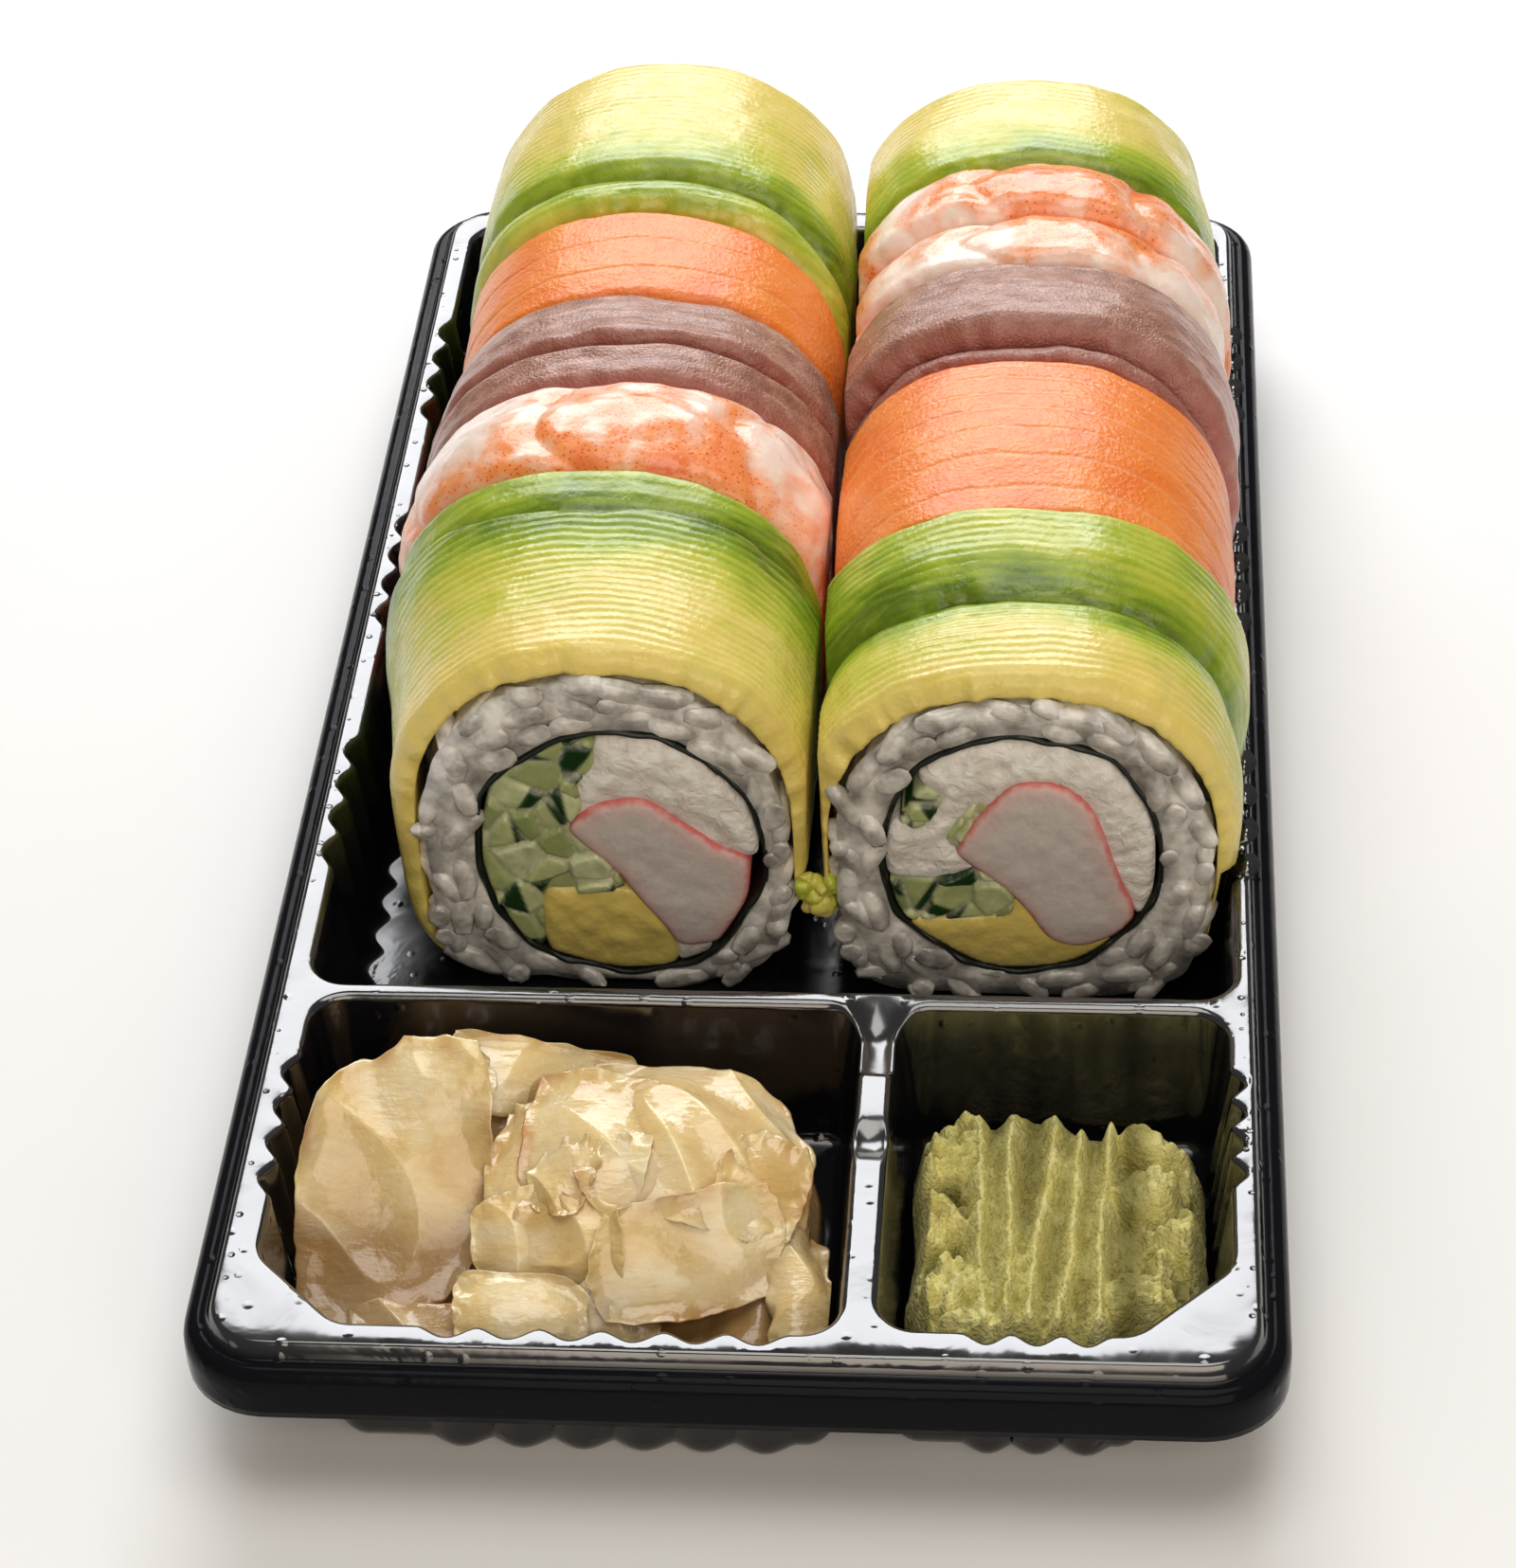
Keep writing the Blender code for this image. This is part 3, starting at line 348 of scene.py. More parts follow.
def resample(loop: Array, step: float) -> Array:
    """A closed line of points, spaced evenly by length, with its corners kept near.

    Args:
        loop: the line's points.
        step: the distance between the new ones.

    Returns:
        The new points.
    """
    closed = np.vstack([loop, loop[:1]])
    length = np.concatenate([[0], np.cumsum(np.linalg.norm(np.diff(closed, axis=0), axis=1))])
    at = np.linspace(0, length[-1], max(8, int(length[-1] / step)), endpoint=False)
    return np.stack([np.interp(at, length, closed[:, k]) for k in range(2)], axis=-1)


def inside(points: Array, loops: Sequence[Array]) -> Array:
    """True where a point is within an odd number of the loops, by counting crossings.

    Args:
        points: places in the plane.
        loops: closed lines.

    Returns:
        A truth value for each point.
    """
    result = np.zeros(len(points), bool)
    for loop in loops:
        ahead = np.roll(loop, -1, axis=0)
        spans = (loop[:, 1] > points[:, 1:2]) != (ahead[:, 1] > points[:, 1:2])
        rise = np.where(ahead[:, 1] == loop[:, 1], 1.0, ahead[:, 1] - loop[:, 1])
        cross = loop[:, 0] + (points[:, 1:2] - loop[:, 1]) / rise * (ahead[:, 0] - loop[:, 0])
        result ^= np.sum(spans & (points[:, 0:1] < cross), axis=1) % 2 == 1
    return result


def edge_distance(points: Array, loops: Sequence[Array]) -> Array:
    """Each point's distance from the nearest side of any loop.

    Args:
        points: places in the plane.
        loops: closed lines.

    Returns:
        A distance for each point.
    """
    nearest = np.full(len(points), np.inf)
    for loop in loops:
        side = np.roll(loop, -1, axis=0) - loop
        squared = np.maximum(np.sum(side * side, axis=1), 1e-12)
        offset = points[:, None, :] - loop[None]
        share = np.clip(np.sum(offset * side, axis=2) / squared, 0, 1)
        away = np.linalg.norm(offset - share[..., None] * side, axis=2)
        nearest = np.minimum(nearest, away.min(axis=1))
    return nearest


def fill_loops(loops: Sequence[Array], spacing: float, clear: float = 0.4) -> tuple[Array, Array]:
    """Triangulates the area between loops, with a staggered grid of points inside it.

    Args:
        loops: the outer loop, then the loops of its holes.
        spacing: the distance between grid points.
        clear: the share of the spacing that grid points keep from the loops.

    Returns:
        The points, with the loops' own first, and anticlockwise triangles.
    """
    border = np.vstack(loops)
    low, high = border.min(axis=0), border.max(axis=0)
    columns = np.arange(low[0], high[0], spacing)
    rows = np.arange(low[1], high[1], spacing * 0.87)
    x, y = np.meshgrid(columns, rows, indexing="ij")
    x = x + spacing / 2 * (np.arange(len(rows)) % 2)
    grid = np.stack([x.ravel(), y.ravel()], axis=-1)
    grid = grid[inside(grid, loops)]
    grid = grid[edge_distance(grid, loops) > spacing * clear]
    points = np.vstack([border, grid])
    edges, start = [], 0
    for loop in loops:
        ring = np.arange(len(loop)) + start
        edges += np.stack([ring, np.roll(ring, -1)], axis=-1).tolist()
        start += len(loop)
    found = delaunay_2d_cdt([Vector(point) for point in points], edges, [], 0, 1e-6)
    flat = np.array([tuple(point) for point in found[0]])
    triangles = np.array(found[2])
    kept = inside(flat[triangles].mean(axis=1), loops)
    return flat, triangles[kept]


# The tray's and the rolls' own shapes, as in the solids


@dataclass(frozen=True)
class Pocket:
    """A pocket's edge at the flange, its corners and its scalloped sides."""

    left: float
    right: float
    front: float
    back: float
    cut_left: float = 0.0
    cut_right: float = 0.0
    flutes: tuple[tuple[str, tuple[float, ...], float], ...] = ()
    radius: float = 3.5

    def corners(self) -> list[tuple[float, float]]:
        """The corners of its edge, anticlockwise from the front right."""
        result = [(self.right, self.back), (self.left, self.back)]
        if self.cut_left:
            result += [(self.left, self.front + self.cut_left), (self.left + self.cut_left, self.front)]
        else:
            result.append((self.left, self.front))
        if self.cut_right:
            result += [(self.right - self.cut_right, self.front), (self.right, self.front + self.cut_right)]
        else:
            result.append((self.right, self.front))
        return result


TRAY_HEIGHT = 17.0
WALL_DRAFT = 1.5
FLOOR = 0.9
FLOOR_CHAMFER = 2.9
FOOT_HEIGHT = 1.5
GAP = 0.3
FOOD_BASE = FLOOR + GAP
LONG_FLUTES = tuple(middle + (k - 1.5) * 5.3 for middle in (-18.5, 20.7, 59.0) for k in range(4))
POCKETS = {
    "sushi": Pocket(-44.0, 44.8, -45.8, 89.5,
                    flutes=(("right", LONG_FLUTES, 5.3), ("left", LONG_FLUTES, 5.3))),
    "ginger": Pocket(-43.1, 9.5, -90.3, -48.0, cut_left=8.0,
                     flutes=(("left", tuple(-58.6 - 4.7 * k for k in range(4)), 4.7),
                             ("front", tuple(-25.0 + 5.5 * k for k in range(6)), 5.5))),
    "wasabi": Pocket(12.9, 44.1, -89.5, -48.0, cut_right=8.6,
                     flutes=(("right", tuple(-57.5 - 3.9 * k for k in range(4)), 3.9),
                             ("front", tuple(22.5 + 4.4 * k for k in range(3)), 4.4))),
}


@dataclass(frozen=True)
class Row:
    """A roll: its rice core's sides and top at stations along Y, and its seaweed ring."""

    name: str
    stations: tuple[float, ...]
    left: tuple[float, ...]
    right: tuple[float, ...]
    top: tuple[float, ...]
    front: float
    back: float
    ring_x: float
    ring_z: float
    ring_a: float
    ring_b: float

    TOP_ROUNDNESS = 2.3
    BASE_SQUARENESS = 4.5
    RING_ROUNDNESS = 2.1
    RING_WAVES = ((5, 0.014, 3.9), (9, 0.010, 0.0))
    SEAM = 3.9
    PRESSED_SHARE = 0.22
    DEEPEST_LIFT = 5.0
    OVERHANG = 9.0

    def outline(self, turn: Array, y: Array, lift: Array) -> Array:
        """Points on the roll: a superellipse, flatter below, held off its neighbours.

        Args:
            turn: the angle from the top, to the right.
            y: the place along the roll.
            lift: the distance outwards from the rice.

        Returns:
            Points in millimetres.
        """
        left = smooth_knots(y, self.stations, self.left) - lift
        right = smooth_knots(y, self.stations, self.right) + lift
        top = smooth_knots(y, self.stations, self.top) + lift
        middle_z = (top + FOOD_BASE - lift) / 2
        shape = np.where(np.cos(turn) > 0, self.TOP_ROUNDNESS, self.BASE_SQUARENESS)
        x = (left + right) / 2 + (right - left) / 2 * signed_power(np.sin(turn), 2 / shape)
        z = middle_z + (top - middle_z) * signed_power(np.cos(turn), 2 / shape)
        z = np.maximum(z, FOOD_BASE)
        return np.stack([self.press(x, z, lift), y + 0 * x, z], axis=-1)

    def press(self, x: Array, z: Array, lift: Array) -> Array:
        """Sideways places held off the other roll and, below the rim, off the tray's walls.

        Args:
            x, z: places across the roll.
            lift: the distance outwards from the rice.

        Returns:
            The new sideways places.
        """
        depth = (self.DEEPEST_LIFT - lift) * self.PRESSED_SHARE
        if self.name == "left":
            x = np.minimum(x, self.SEAM - GAP / 2 - depth)
        else:
            x = np.maximum(x, self.SEAM + GAP / 2 + depth)
        reach = wall_inset(z, depth, self.OVERHANG)
        return np.clip(x, POCKETS["sushi"].left + reach, POCKETS["sushi"].right - reach)

    def ring(self, angle: Array, y: Array, offset: Array) -> Array:
        """Points on the wavy seaweed ring: angle is from +X, offset the distance outwards.

        Args:
            angle: the angle from +X.
            y: the place along the roll.
            offset: the distance outwards.

        Returns:
            Points in millimetres.
        """
        wave = np.ones_like(angle)
        for waves, size, phase in self.RING_WAVES:
            wave = wave + size * np.sin(waves * angle + phase + self.ring_x)
        x = self.ring_x + (self.ring_a * wave + offset) * signed_power(np.cos(angle), 2 / self.RING_ROUNDNESS)
        z = self.ring_z + (self.ring_b * wave + offset) * signed_power(np.sin(angle), 2 / self.RING_ROUNDNESS)
        return np.stack([x, y + 0 * x, z], axis=-1)

    def even_turns(self, low_left: float, low_right: float, count: int) -> Array:
        """Angles over the top, evenly spaced by length, from a height at the left to one at the right.

        Args:
            low_left, low_right: the heights of both ends.
            count: how many angles.

        Returns:
            Angles from the top, to the right.
        """
        dense = np.linspace(-math.pi, math.pi, 2881)
        line = self.outline(dense, np.full(len(dense), (self.front + self.back) / 2), 0.0)
        start = np.argmax((dense < 0) & (line[:, 2] >= low_left))
        end = len(dense) - 1 - np.argmax(((dense > 0) & (line[:, 2] >= low_right))[::-1])
        length = np.concatenate([[0], np.cumsum(np.linalg.norm(np.diff(line, axis=0), axis=1))])
        return np.interp(np.linspace(length[start], length[end], count), length, dense)


def wall_inset(z: Array, margin: Array, overhang: float) -> Array:
    """How far inside a pocket's edge its contents stay at a height, or how far they overhang.

    Args:
        z: heights.
        margin: a distance to keep besides the gap.
        overhang: how far contents may reach out above the rim.

    Returns:
        Distances inwards.
    """
    slope = WALL_DRAFT / (TRAY_HEIGHT - FLOOR - FOOT_HEIGHT - 0.5)
    foot = (FLOOR_CHAMFER - WALL_DRAFT) * np.maximum(FLOOR + FOOT_HEIGHT - z, 0) / FOOT_HEIGHT
    reach = slope * np.maximum(TRAY_HEIGHT - z, 0) + foot + GAP + margin
    return np.where(z < TRAY_HEIGHT + 0.9, reach, -overhang)


ROWS = {
    "left": Row("left", (-28.0, 8.0, 40.0, 85.0), (-35.1, -38.4, -36.8, -36.6),
                (1.2, 1.2, 1.2, -0.4), (40.0, 39.6, 38.8, 39.4), -27.9, 85.0,
                -15.5, 18.2, 14.3, 15.5),
    "right": Row("right", (-29.0, 10.0, 50.0, 84.0), (5.8, 5.8, 5.8, 5.8),
                 (42.8, 42.9, 42.9, 40.6), (38.6, 39.2, 38.6, 38.2), -29.0, 84.0,
                 24.2, 19.8, 13.7, 15.0),
}


# Materials


def srgb(red: float, green: float, blue: float) -> Colour:
    """A colour given as screen values from 0 to 255, in the linear values that shaders use."""
    return tuple((c / 255 / 12.92) if c <= 10.3 else (((c / 255) + 0.055) / 1.055) ** 2.4
                 for c in (red, green, blue))


class NodeSheet:
    """Writes a material's nodes as calls; patterns are in object coordinates, in millimetres."""

    def __init__(self, name: str) -> None:
        """Starts a material with its Principled shader."""
        self.material = bpy.data.materials.new(name)
        self.material.use_nodes = True
        self.nodes = self.material.node_tree.nodes
        self.links = self.material.node_tree.links
        self.shader = self.nodes["Principled BSDF"]
        self.place = self.nodes.new("ShaderNodeTexCoord").outputs["Object"]

    def plug(self, value: Value, socket: NodeSocket) -> None:
        """Links a socket, or writes a number or colour on it."""
        if isinstance(value, NodeSocket):
            self.links.new(value, socket)
        elif isinstance(value, tuple) and len(value) == 3 and socket.type == "RGBA":
            socket.default_value = (*value, 1.0)
        else:
            socket.default_value = value

    def coordinates(self, stretch: Colour) -> NodeSocket:
        """Object coordinates, stretched along each axis by the inverse of the values given."""
        if stretch == (1.0, 1.0, 1.0):
            return self.place
        mapping = self.nodes.new("ShaderNodeMapping")
        mapping.inputs["Scale"].default_value = stretch
        self.links.new(self.place, mapping.inputs["Vector"])
        return mapping.outputs["Vector"]

    def noise(self, size: float, detail: float = 2.0, distortion: float = 0.0,
              stretch: Colour = (1.0, 1.0, 1.0)) -> NodeSocket:
        """Cloud noise whose bumps are size millimetres wide."""
        node = self.nodes.new("ShaderNodeTexNoise")
        node.inputs["Scale"].default_value = 1 / (size * MM)
        node.inputs["Detail"].default_value = detail
        node.inputs["Distortion"].default_value = distortion
        self.links.new(self.coordinates(stretch), node.inputs["Vector"])
        return node.outputs["Fac"]

    def cells(self, size: float, stretch: Colour = (1.0, 1.0, 1.0)) -> NodeSocket:
        """The distance from the middle of scattered cells, size millimetres apart."""
        node = self.nodes.new("ShaderNodeTexVoronoi")
        node.inputs["Scale"].default_value = 1 / (size * MM)
        self.links.new(self.coordinates(stretch), node.inputs["Vector"])
        return node.outputs["Distance"]

    def trait(self, name: str) -> NodeSocket:
        """A value that the mesh keeps at each point."""
        node = self.nodes.new("ShaderNodeAttribute")
        node.attribute_name = name
        return node.outputs["Fac"]

    def sum(self, operation: str, first: Value, second: Value, clamp: bool = False) -> NodeSocket:
        """One step of arithmetic, named as Blender names it."""
        node = self.nodes.new("ShaderNodeMath")
        node.operation = operation
        node.use_clamp = clamp
        self.plug(first, node.inputs[0])
        self.plug(second, node.inputs[1])
        return node.outputs["Value"]

    def spread(self, value: Value, low: float, high: float, new_low: float = 0.0,
               new_high: float = 1.0) -> NodeSocket:
        """A value's range from low to high, stretched to a new one and held in it."""
        node = self.nodes.new("ShaderNodeMapRange")
        self.plug(value, node.inputs["Value"])
        bounds = {"From Min": low, "From Max": high, "To Min": new_low, "To Max": new_high}
        for name, number in bounds.items():
            node.inputs[name].default_value = number
        return node.outputs["Result"]

    def ramp(self, value: Value, stops: Sequence[tuple[float, Colour]]) -> NodeSocket:
        """A colour read from stops along a value."""
        node = self.nodes.new("ShaderNodeValToRGB")
        elements = node.color_ramp.elements
        while len(elements) < len(stops):
            elements.new(0.5)
        for element, (position, colour) in zip(elements, stops):
            element.position = position
            element.color = (*colour, 1.0)
        self.plug(value, node.inputs["Fac"])
        return node.outputs["Color"]

    def blend(self, share: Value, first: Value, second: Value) -> NodeSocket:
        """Two colours mixed by a share."""
        node = self.nodes.new("ShaderNodeMix")
        node.data_type = "RGBA"
        self.plug(share, node.inputs[0])
        self.plug(first, node.inputs[6])
        self.plug(second, node.inputs[7])
        return node.outputs[2]

    def bump(self, height: Value, depth: float, normal: NodeSocket | None = None) -> NodeSocket:
        """A normal tilted by a height that is depth millimetres at its full value."""
        node = self.nodes.new("ShaderNodeBump")
        node.inputs["Strength"].default_value = 1.0
        node.inputs["Distance"].default_value = depth * MM
        self.plug(height, node.inputs["Height"])
        if normal is not None:
            self.links.new(normal, node.inputs["Normal"])
        return node.outputs["Normal"]

    def finish(self, colour: Value, normal: NodeSocket | None, roughness: Value,
               **uniform: Value) -> Material:
        """Links the shader and returns the material.

        Args:
            colour: the base colour.
            normal: the bumped normal, if there is one.
            roughness: the roughness.
            uniform: values of other sockets, which are named after them.
        """
        self.plug(colour, self.shader.inputs["Base Color"])
        self.plug(roughness, self.shader.inputs["Roughness"])
        if normal is not None:
            self.links.new(normal, self.shader.inputs["Normal"])
        for name, value in uniform.items():
            self.shader.inputs[name.replace("_", " ").title().replace("Ior", "IOR")].default_value = value
        return self.material


@dataclass(frozen=True)
class SoftGlow:
    """Light that spreads inside moist food: its share, its depth and how far each colour goes."""

    weight: float
    depth: float
    reach: Colour = (1.0, 0.7, 0.5)

    def values(self) -> dict:
        """The shader's uniform values for it."""
        return {"subsurface_weight": self.weight, "subsurface_scale": self.depth * MM,
                "subsurface_radius": self.reach}


@dataclass(frozen=True)
class TrayPlastic:
    """Gloss black moulded sheet with a damp, slightly rippled flange."""

    black: Colour = (0.006, 0.006, 0.008)

    def material(self) -> Material:
        """Builds the material."""
        sheet = NodeSheet("tray_plastic")
        film = sheet.noise(9.0, 3.0, 1.2)
        specks = sheet.spread(sheet.cells(2.6), 0.05, 0.22, 1.0, 0.0)
        rough = sheet.spread(film, 0.35, 0.75, 0.07, 0.24)
        normal = sheet.bump(film, 0.10)
        normal = sheet.bump(specks, 0.05, normal)
        sheet.plug(sheet.spread(sheet.trait("outside"), 0.0, 1.0, 1.0, 0.03),
                   sheet.shader.inputs["Specular IOR Level"])
        return sheet.finish(self.black, normal, rough, ior=1.74)


@dataclass(frozen=True)
class RiceGrain:
    """Cooked short rice: translucent grey white with a whiter heart and a moist surface."""

    clear: Colour = srgb(156, 151, 143)
    heart: Colour = srgb(240, 236, 228)
    glow: SoftGlow = SoftGlow(0.12, 0.8, (1.0, 0.9, 0.8))

    def material(self) -> Material:
        """Builds the material."""
        sheet = NodeSheet("rice")
        cloud = sheet.noise(2.8, 3.0)
        colour = sheet.blend(sheet.spread(cloud, 0.35, 0.65), self.clear, self.heart)
        normal = sheet.bump(sheet.noise(1.1, 3.0), 0.16)
        return sheet.finish(colour, normal, 0.2, coat_weight=0.6, coat_roughness=0.06, **self.glow.values())


@dataclass(frozen=True)
class SeaweedSheet:
    """Moist roasted seaweed, nearly black."""

    def material(self) -> Material:
        """Builds the material."""
        sheet = NodeSheet("seaweed")
        mottled = sheet.noise(1.2, 3.0)
        colour = sheet.blend(mottled, srgb(14, 20, 16), srgb(34, 42, 34))
        return sheet.finish(colour, sheet.bump(mottled, 0.15), 0.38)


@dataclass(frozen=True)
class CreamCheese:
    """Soft white cheese with torn creases."""

    def material(self) -> Material:
        """Builds the material."""
        sheet = NodeSheet("cream_cheese")
        cloud = sheet.noise(2.2, 4.0, 0.6)
        colour = sheet.blend(sheet.spread(cloud, 0.3, 0.7), srgb(222, 212, 200), srgb(254, 250, 242))
        normal = sheet.bump(sheet.noise(1.2, 4.0, 0.8), 0.4)
        return sheet.finish(colour, normal, 0.42, **SoftGlow(0.25, 1.5).values())


@dataclass(frozen=True)
class CrabStick:
    """Pressed fish stick: grey white with fine grain and a pink red skin."""

    def material(self) -> Material:
        """Builds the material."""
        sheet = NodeSheet("crab_stick")
        grain = sheet.noise(0.5, 3.0)
        flesh = sheet.blend(grain, srgb(200, 188, 182), srgb(222, 212, 206))
        ragged = sheet.sum("ADD", sheet.trait("rim"), sheet.spread(sheet.noise(1.4), 0.3, 0.7, -0.22, 0.22))
        skin = sheet.spread(ragged, 0.02, 0.55, 0.8, 0.0)
        blush = sheet.spread(ragged, 0.2, 2.4, 0.4, 0.0)
        colour = sheet.blend(blush, flesh, srgb(226, 160, 150))
        colour = sheet.blend(skin, colour, srgb(214, 84, 80))
        return sheet.finish(colour, sheet.bump(grain, 0.05), 0.36, **SoftGlow(0.25, 1.6).values())


@dataclass(frozen=True)
class Cucumber:
    """Cut cucumber: clear pale flesh, dark green skin and cheese in the seams between batons."""

    def material(self) -> Material:
        """Builds the material."""
        sheet = NodeSheet("cucumber")
        flesh = sheet.ramp(sheet.trait("tone"), [(0.0, srgb(142, 152, 96)), (0.5, srgb(188, 194, 138)),
                                                 (1.0, srgb(218, 222, 180))])
        cloud = sheet.spread(sheet.noise(1.6, 3.0), 0.35, 0.7, 0.0, 0.5)
        flesh = sheet.blend(cloud, flesh, srgb(132, 150, 84))
        colour = sheet.blend(sheet.trait("skin"), flesh, srgb(26, 56, 22))
        broken = sheet.spread(sheet.noise(2.0, 2.0), 0.35, 0.65, 0.1, 0.7)
        seam = sheet.sum("MULTIPLY", sheet.trait("groove"), broken)
        colour = sheet.blend(seam, colour, srgb(212, 212, 186))
        normal = sheet.bump(sheet.noise(0.7, 3.0), 0.10)
        return sheet.finish(colour, normal, 0.24, **SoftGlow(0.3, 1.8, (0.6, 1.0, 0.4)).values())


@dataclass(frozen=True)
class Avocado:
    """Ripe avocado: from pale yellow flesh, by way of yellow green, to the dark green under its skin."""

    name: str = "avocado"
    roughness: float = 0.3

    def material(self) -> Material:
        """Builds the material."""
        sheet = NodeSheet(self.name)
        drift = sheet.spread(sheet.noise(5.0, 3.0, 0.5, (1.0, 2.2, 1.0)), 0.25, 0.75, -0.13, 0.13)
        ripe = sheet.sum("ADD", sheet.trait("green"), drift, clamp=True)
        colour = sheet.ramp(ripe, [(0.0, srgb(232, 208, 112)), (0.2, srgb(222, 204, 108)),
                                   (0.42, srgb(200, 198, 76)), (0.66, srgb(160, 178, 46)),
                                   (0.86, srgb(124, 150, 28)), (1.0, srgb(92, 118, 16))])
        fibre = sheet.noise(0.8, 3.0, 0.3, (0.25, 1.6, 0.25))
        colour = sheet.blend(sheet.spread(fibre, 0.5, 0.8, 0.0, 0.16), colour, srgb(232, 228, 140))
        wet = sheet.spread(sheet.noise(2.4, 3.0), 0.35, 0.7, self.roughness - 0.1, self.roughness + 0.14)
        normal = sheet.bump(sheet.noise(0.55, 2.0), 0.07, sheet.bump(sheet.noise(2.6, 3.0), 0.22))
        return sheet.finish(colour, normal, wet, coat_weight=0.14, coat_roughness=0.12,
                            **SoftGlow(0.12, 1.0, (1.0, 1.0, 0.5)).values())


@dataclass(frozen=True)
class Prawn:
    """Cooked prawn: white flesh, orange bands made of fine red orange specks."""

    def material(self) -> Material:
        """Builds the material."""
        sheet = NodeSheet("prawn")
        patch = sheet.sum("ADD", sheet.trait("orange"),
                          sheet.spread(sheet.noise(5.0, 3.0, 0.4), 0.3, 0.7, -0.42, 0.45))
        white = sheet.blend(sheet.noise(2.0, 3.0), srgb(244, 212, 192), srgb(248, 236, 226))
        tinted = sheet.blend(sheet.spread(patch, 0.1, 0.75), white, srgb(246, 152, 88))
        specks = sheet.spread(sheet.cells(0.5), 0.2, 0.34, 1.0, 0.0)
        dense = sheet.sum("MULTIPLY", specks, sheet.spread(patch, 0.34, 0.8))
        colour = sheet.blend(dense, tinted, srgb(220, 80, 32))
        colour = sheet.blend(sheet.spread(patch, 0.8, 1.3, 0.0, 0.8), colour, srgb(236, 112, 56))
        normal = sheet.bump(sheet.noise(1.0, 3.0), 0.12)
        return sheet.finish(colour, normal, 0.26, coat_weight=0.3, coat_roughness=0.1,
                            **SoftGlow(0.2, 1.4).values())


@dataclass(frozen=True)
class Tuna:
    """Raw tuna: brownish mauve with fine wet fibres, redder where it is cut."""

    def material(self) -> Material:
        """Builds the material."""
        sheet = NodeSheet("tuna")
        fibre = sheet.noise(1.8, 5.0, 0.3, (0.8, 1.2, 0.8))
        flesh = sheet.ramp(fibre, [(0.3, srgb(140, 94, 76)), (0.5, srgb(164, 117, 97)),
                                   (0.75, srgb(192, 148, 132))])
        colour = sheet.blend(sheet.trait("cut"), flesh, srgb(158, 84, 74))
        colour = sheet.blend(sheet.trait("pink"), colour, srgb(214, 132, 122))
        sparkle = sheet.noise(0.34, 2.0)
        normal = sheet.bump(sparkle, 0.2, sheet.bump(fibre, 0.12))
        return sheet.finish(colour, normal, 0.3, coat_weight=0.22, coat_roughness=0.14,
                            **SoftGlow(0.15, 1.2).values())


@dataclass(frozen=True)
class Salmon:
    """Smoked salmon: orange with thin pale lines of fat and a moist, finely grained surface."""

    def material(self) -> Material:
        """Builds the material."""
        sheet = NodeSheet("salmon")
        cloud = sheet.noise(7.0, 4.0, 0.4)
        flesh = sheet.ramp(cloud, [(0.25, srgb(233, 113, 32)), (0.5, srgb(240, 133, 48)),
                                   (0.75, srgb(244, 152, 68))])
        colour = sheet.blend(sheet.trait("fat"), flesh, srgb(252, 190, 142))
        colour = sheet.blend(sheet.trait("clear"), colour, srgb(240, 168, 122))
        normal = sheet.bump(sheet.noise(0.5, 3.0), 0.2, sheet.bump(cloud, 0.3))
        return sheet.finish(colour, normal, 0.34, coat_weight=0.14, coat_roughness=0.14,
                            **SoftGlow(0.25, 1.6, (1.0, 0.45, 0.2)).values())


@dataclass(frozen=True)
class PickledGinger:
    """Pickled ginger: wet, translucent cream slices, tan at some edges, with painted shade in their folds,
    low places and undersides.
    """

    def material(self) -> Material:
        """Builds the material."""
        sheet = NodeSheet("pickled_ginger")
        cloud = sheet.noise(6.5, 3.0, 0.6)
        flesh = sheet.ramp(cloud, [(0.28, srgb(226, 190, 120)), (0.48, srgb(244, 218, 156)),
                                   (0.72, srgb(252, 238, 198))])
        fibre = sheet.noise(1.0, 3.0, 0.3, (0.35, 1.4, 1.0))
        colour = sheet.blend(sheet.spread(fibre, 0.45, 0.8, 0.0, 0.3), flesh, srgb(208, 172, 114))
        # Tan at the slices' rims, a real stain.
        stain = sheet.sum("MULTIPLY", sheet.spread(sheet.trait("rim"), 0.72, 1.0),
                          sheet.spread(sheet.noise(5.0, 2.0), 0.5, 0.72))
        colour = sheet.blend(stain, colour, srgb(200, 136, 76))
        # Painted shade: blends towards dark tan by the deep trait that the heap sets.
        colour = sheet.blend(sheet.trait("deep"), colour, srgb(158, 114, 64))
        wet = sheet.spread(sheet.noise(3.0, 3.0), 0.35, 0.65, 0.1, 0.3)
        normal = sheet.bump(fibre, 0.12, sheet.bump(sheet.noise(0.6, 2.0), 0.08))
        return sheet.finish(colour, normal, wet, coat_weight=0.7, coat_roughness=0.07,
                            **SoftGlow(0.12, 1.0, (1.0, 0.8, 0.5)).values())


@dataclass(frozen=True)
class Wasabi:
    """Wasabi paste: matt, grainy olive green."""

    def material(self) -> Material:
        """Builds the material."""
        sheet = NodeSheet("wasabi")
        grain = sheet.noise(0.35, 3.0)
        cloud = sheet.noise(3.0, 3.0)
        colour = sheet.ramp(cloud, [(0.3, srgb(204, 194, 112)), (0.7, srgb(238, 230, 158))])
        colour = sheet.blend(sheet.spread(grain, 0.5, 0.75, 0.0, 0.4), colour, srgb(232, 226, 160))
        # Painted shade, read from the heap's deep trait.
        colour = sheet.blend(sheet.trait("deep"), colour, srgb(100, 94, 40))
        normal = sheet.bump(grain, 0.34, sheet.bump(sheet.noise(1.0, 4.0), 0.4))
        return sheet.finish(colour, normal, 0.8, specular_ior_level=0.2)


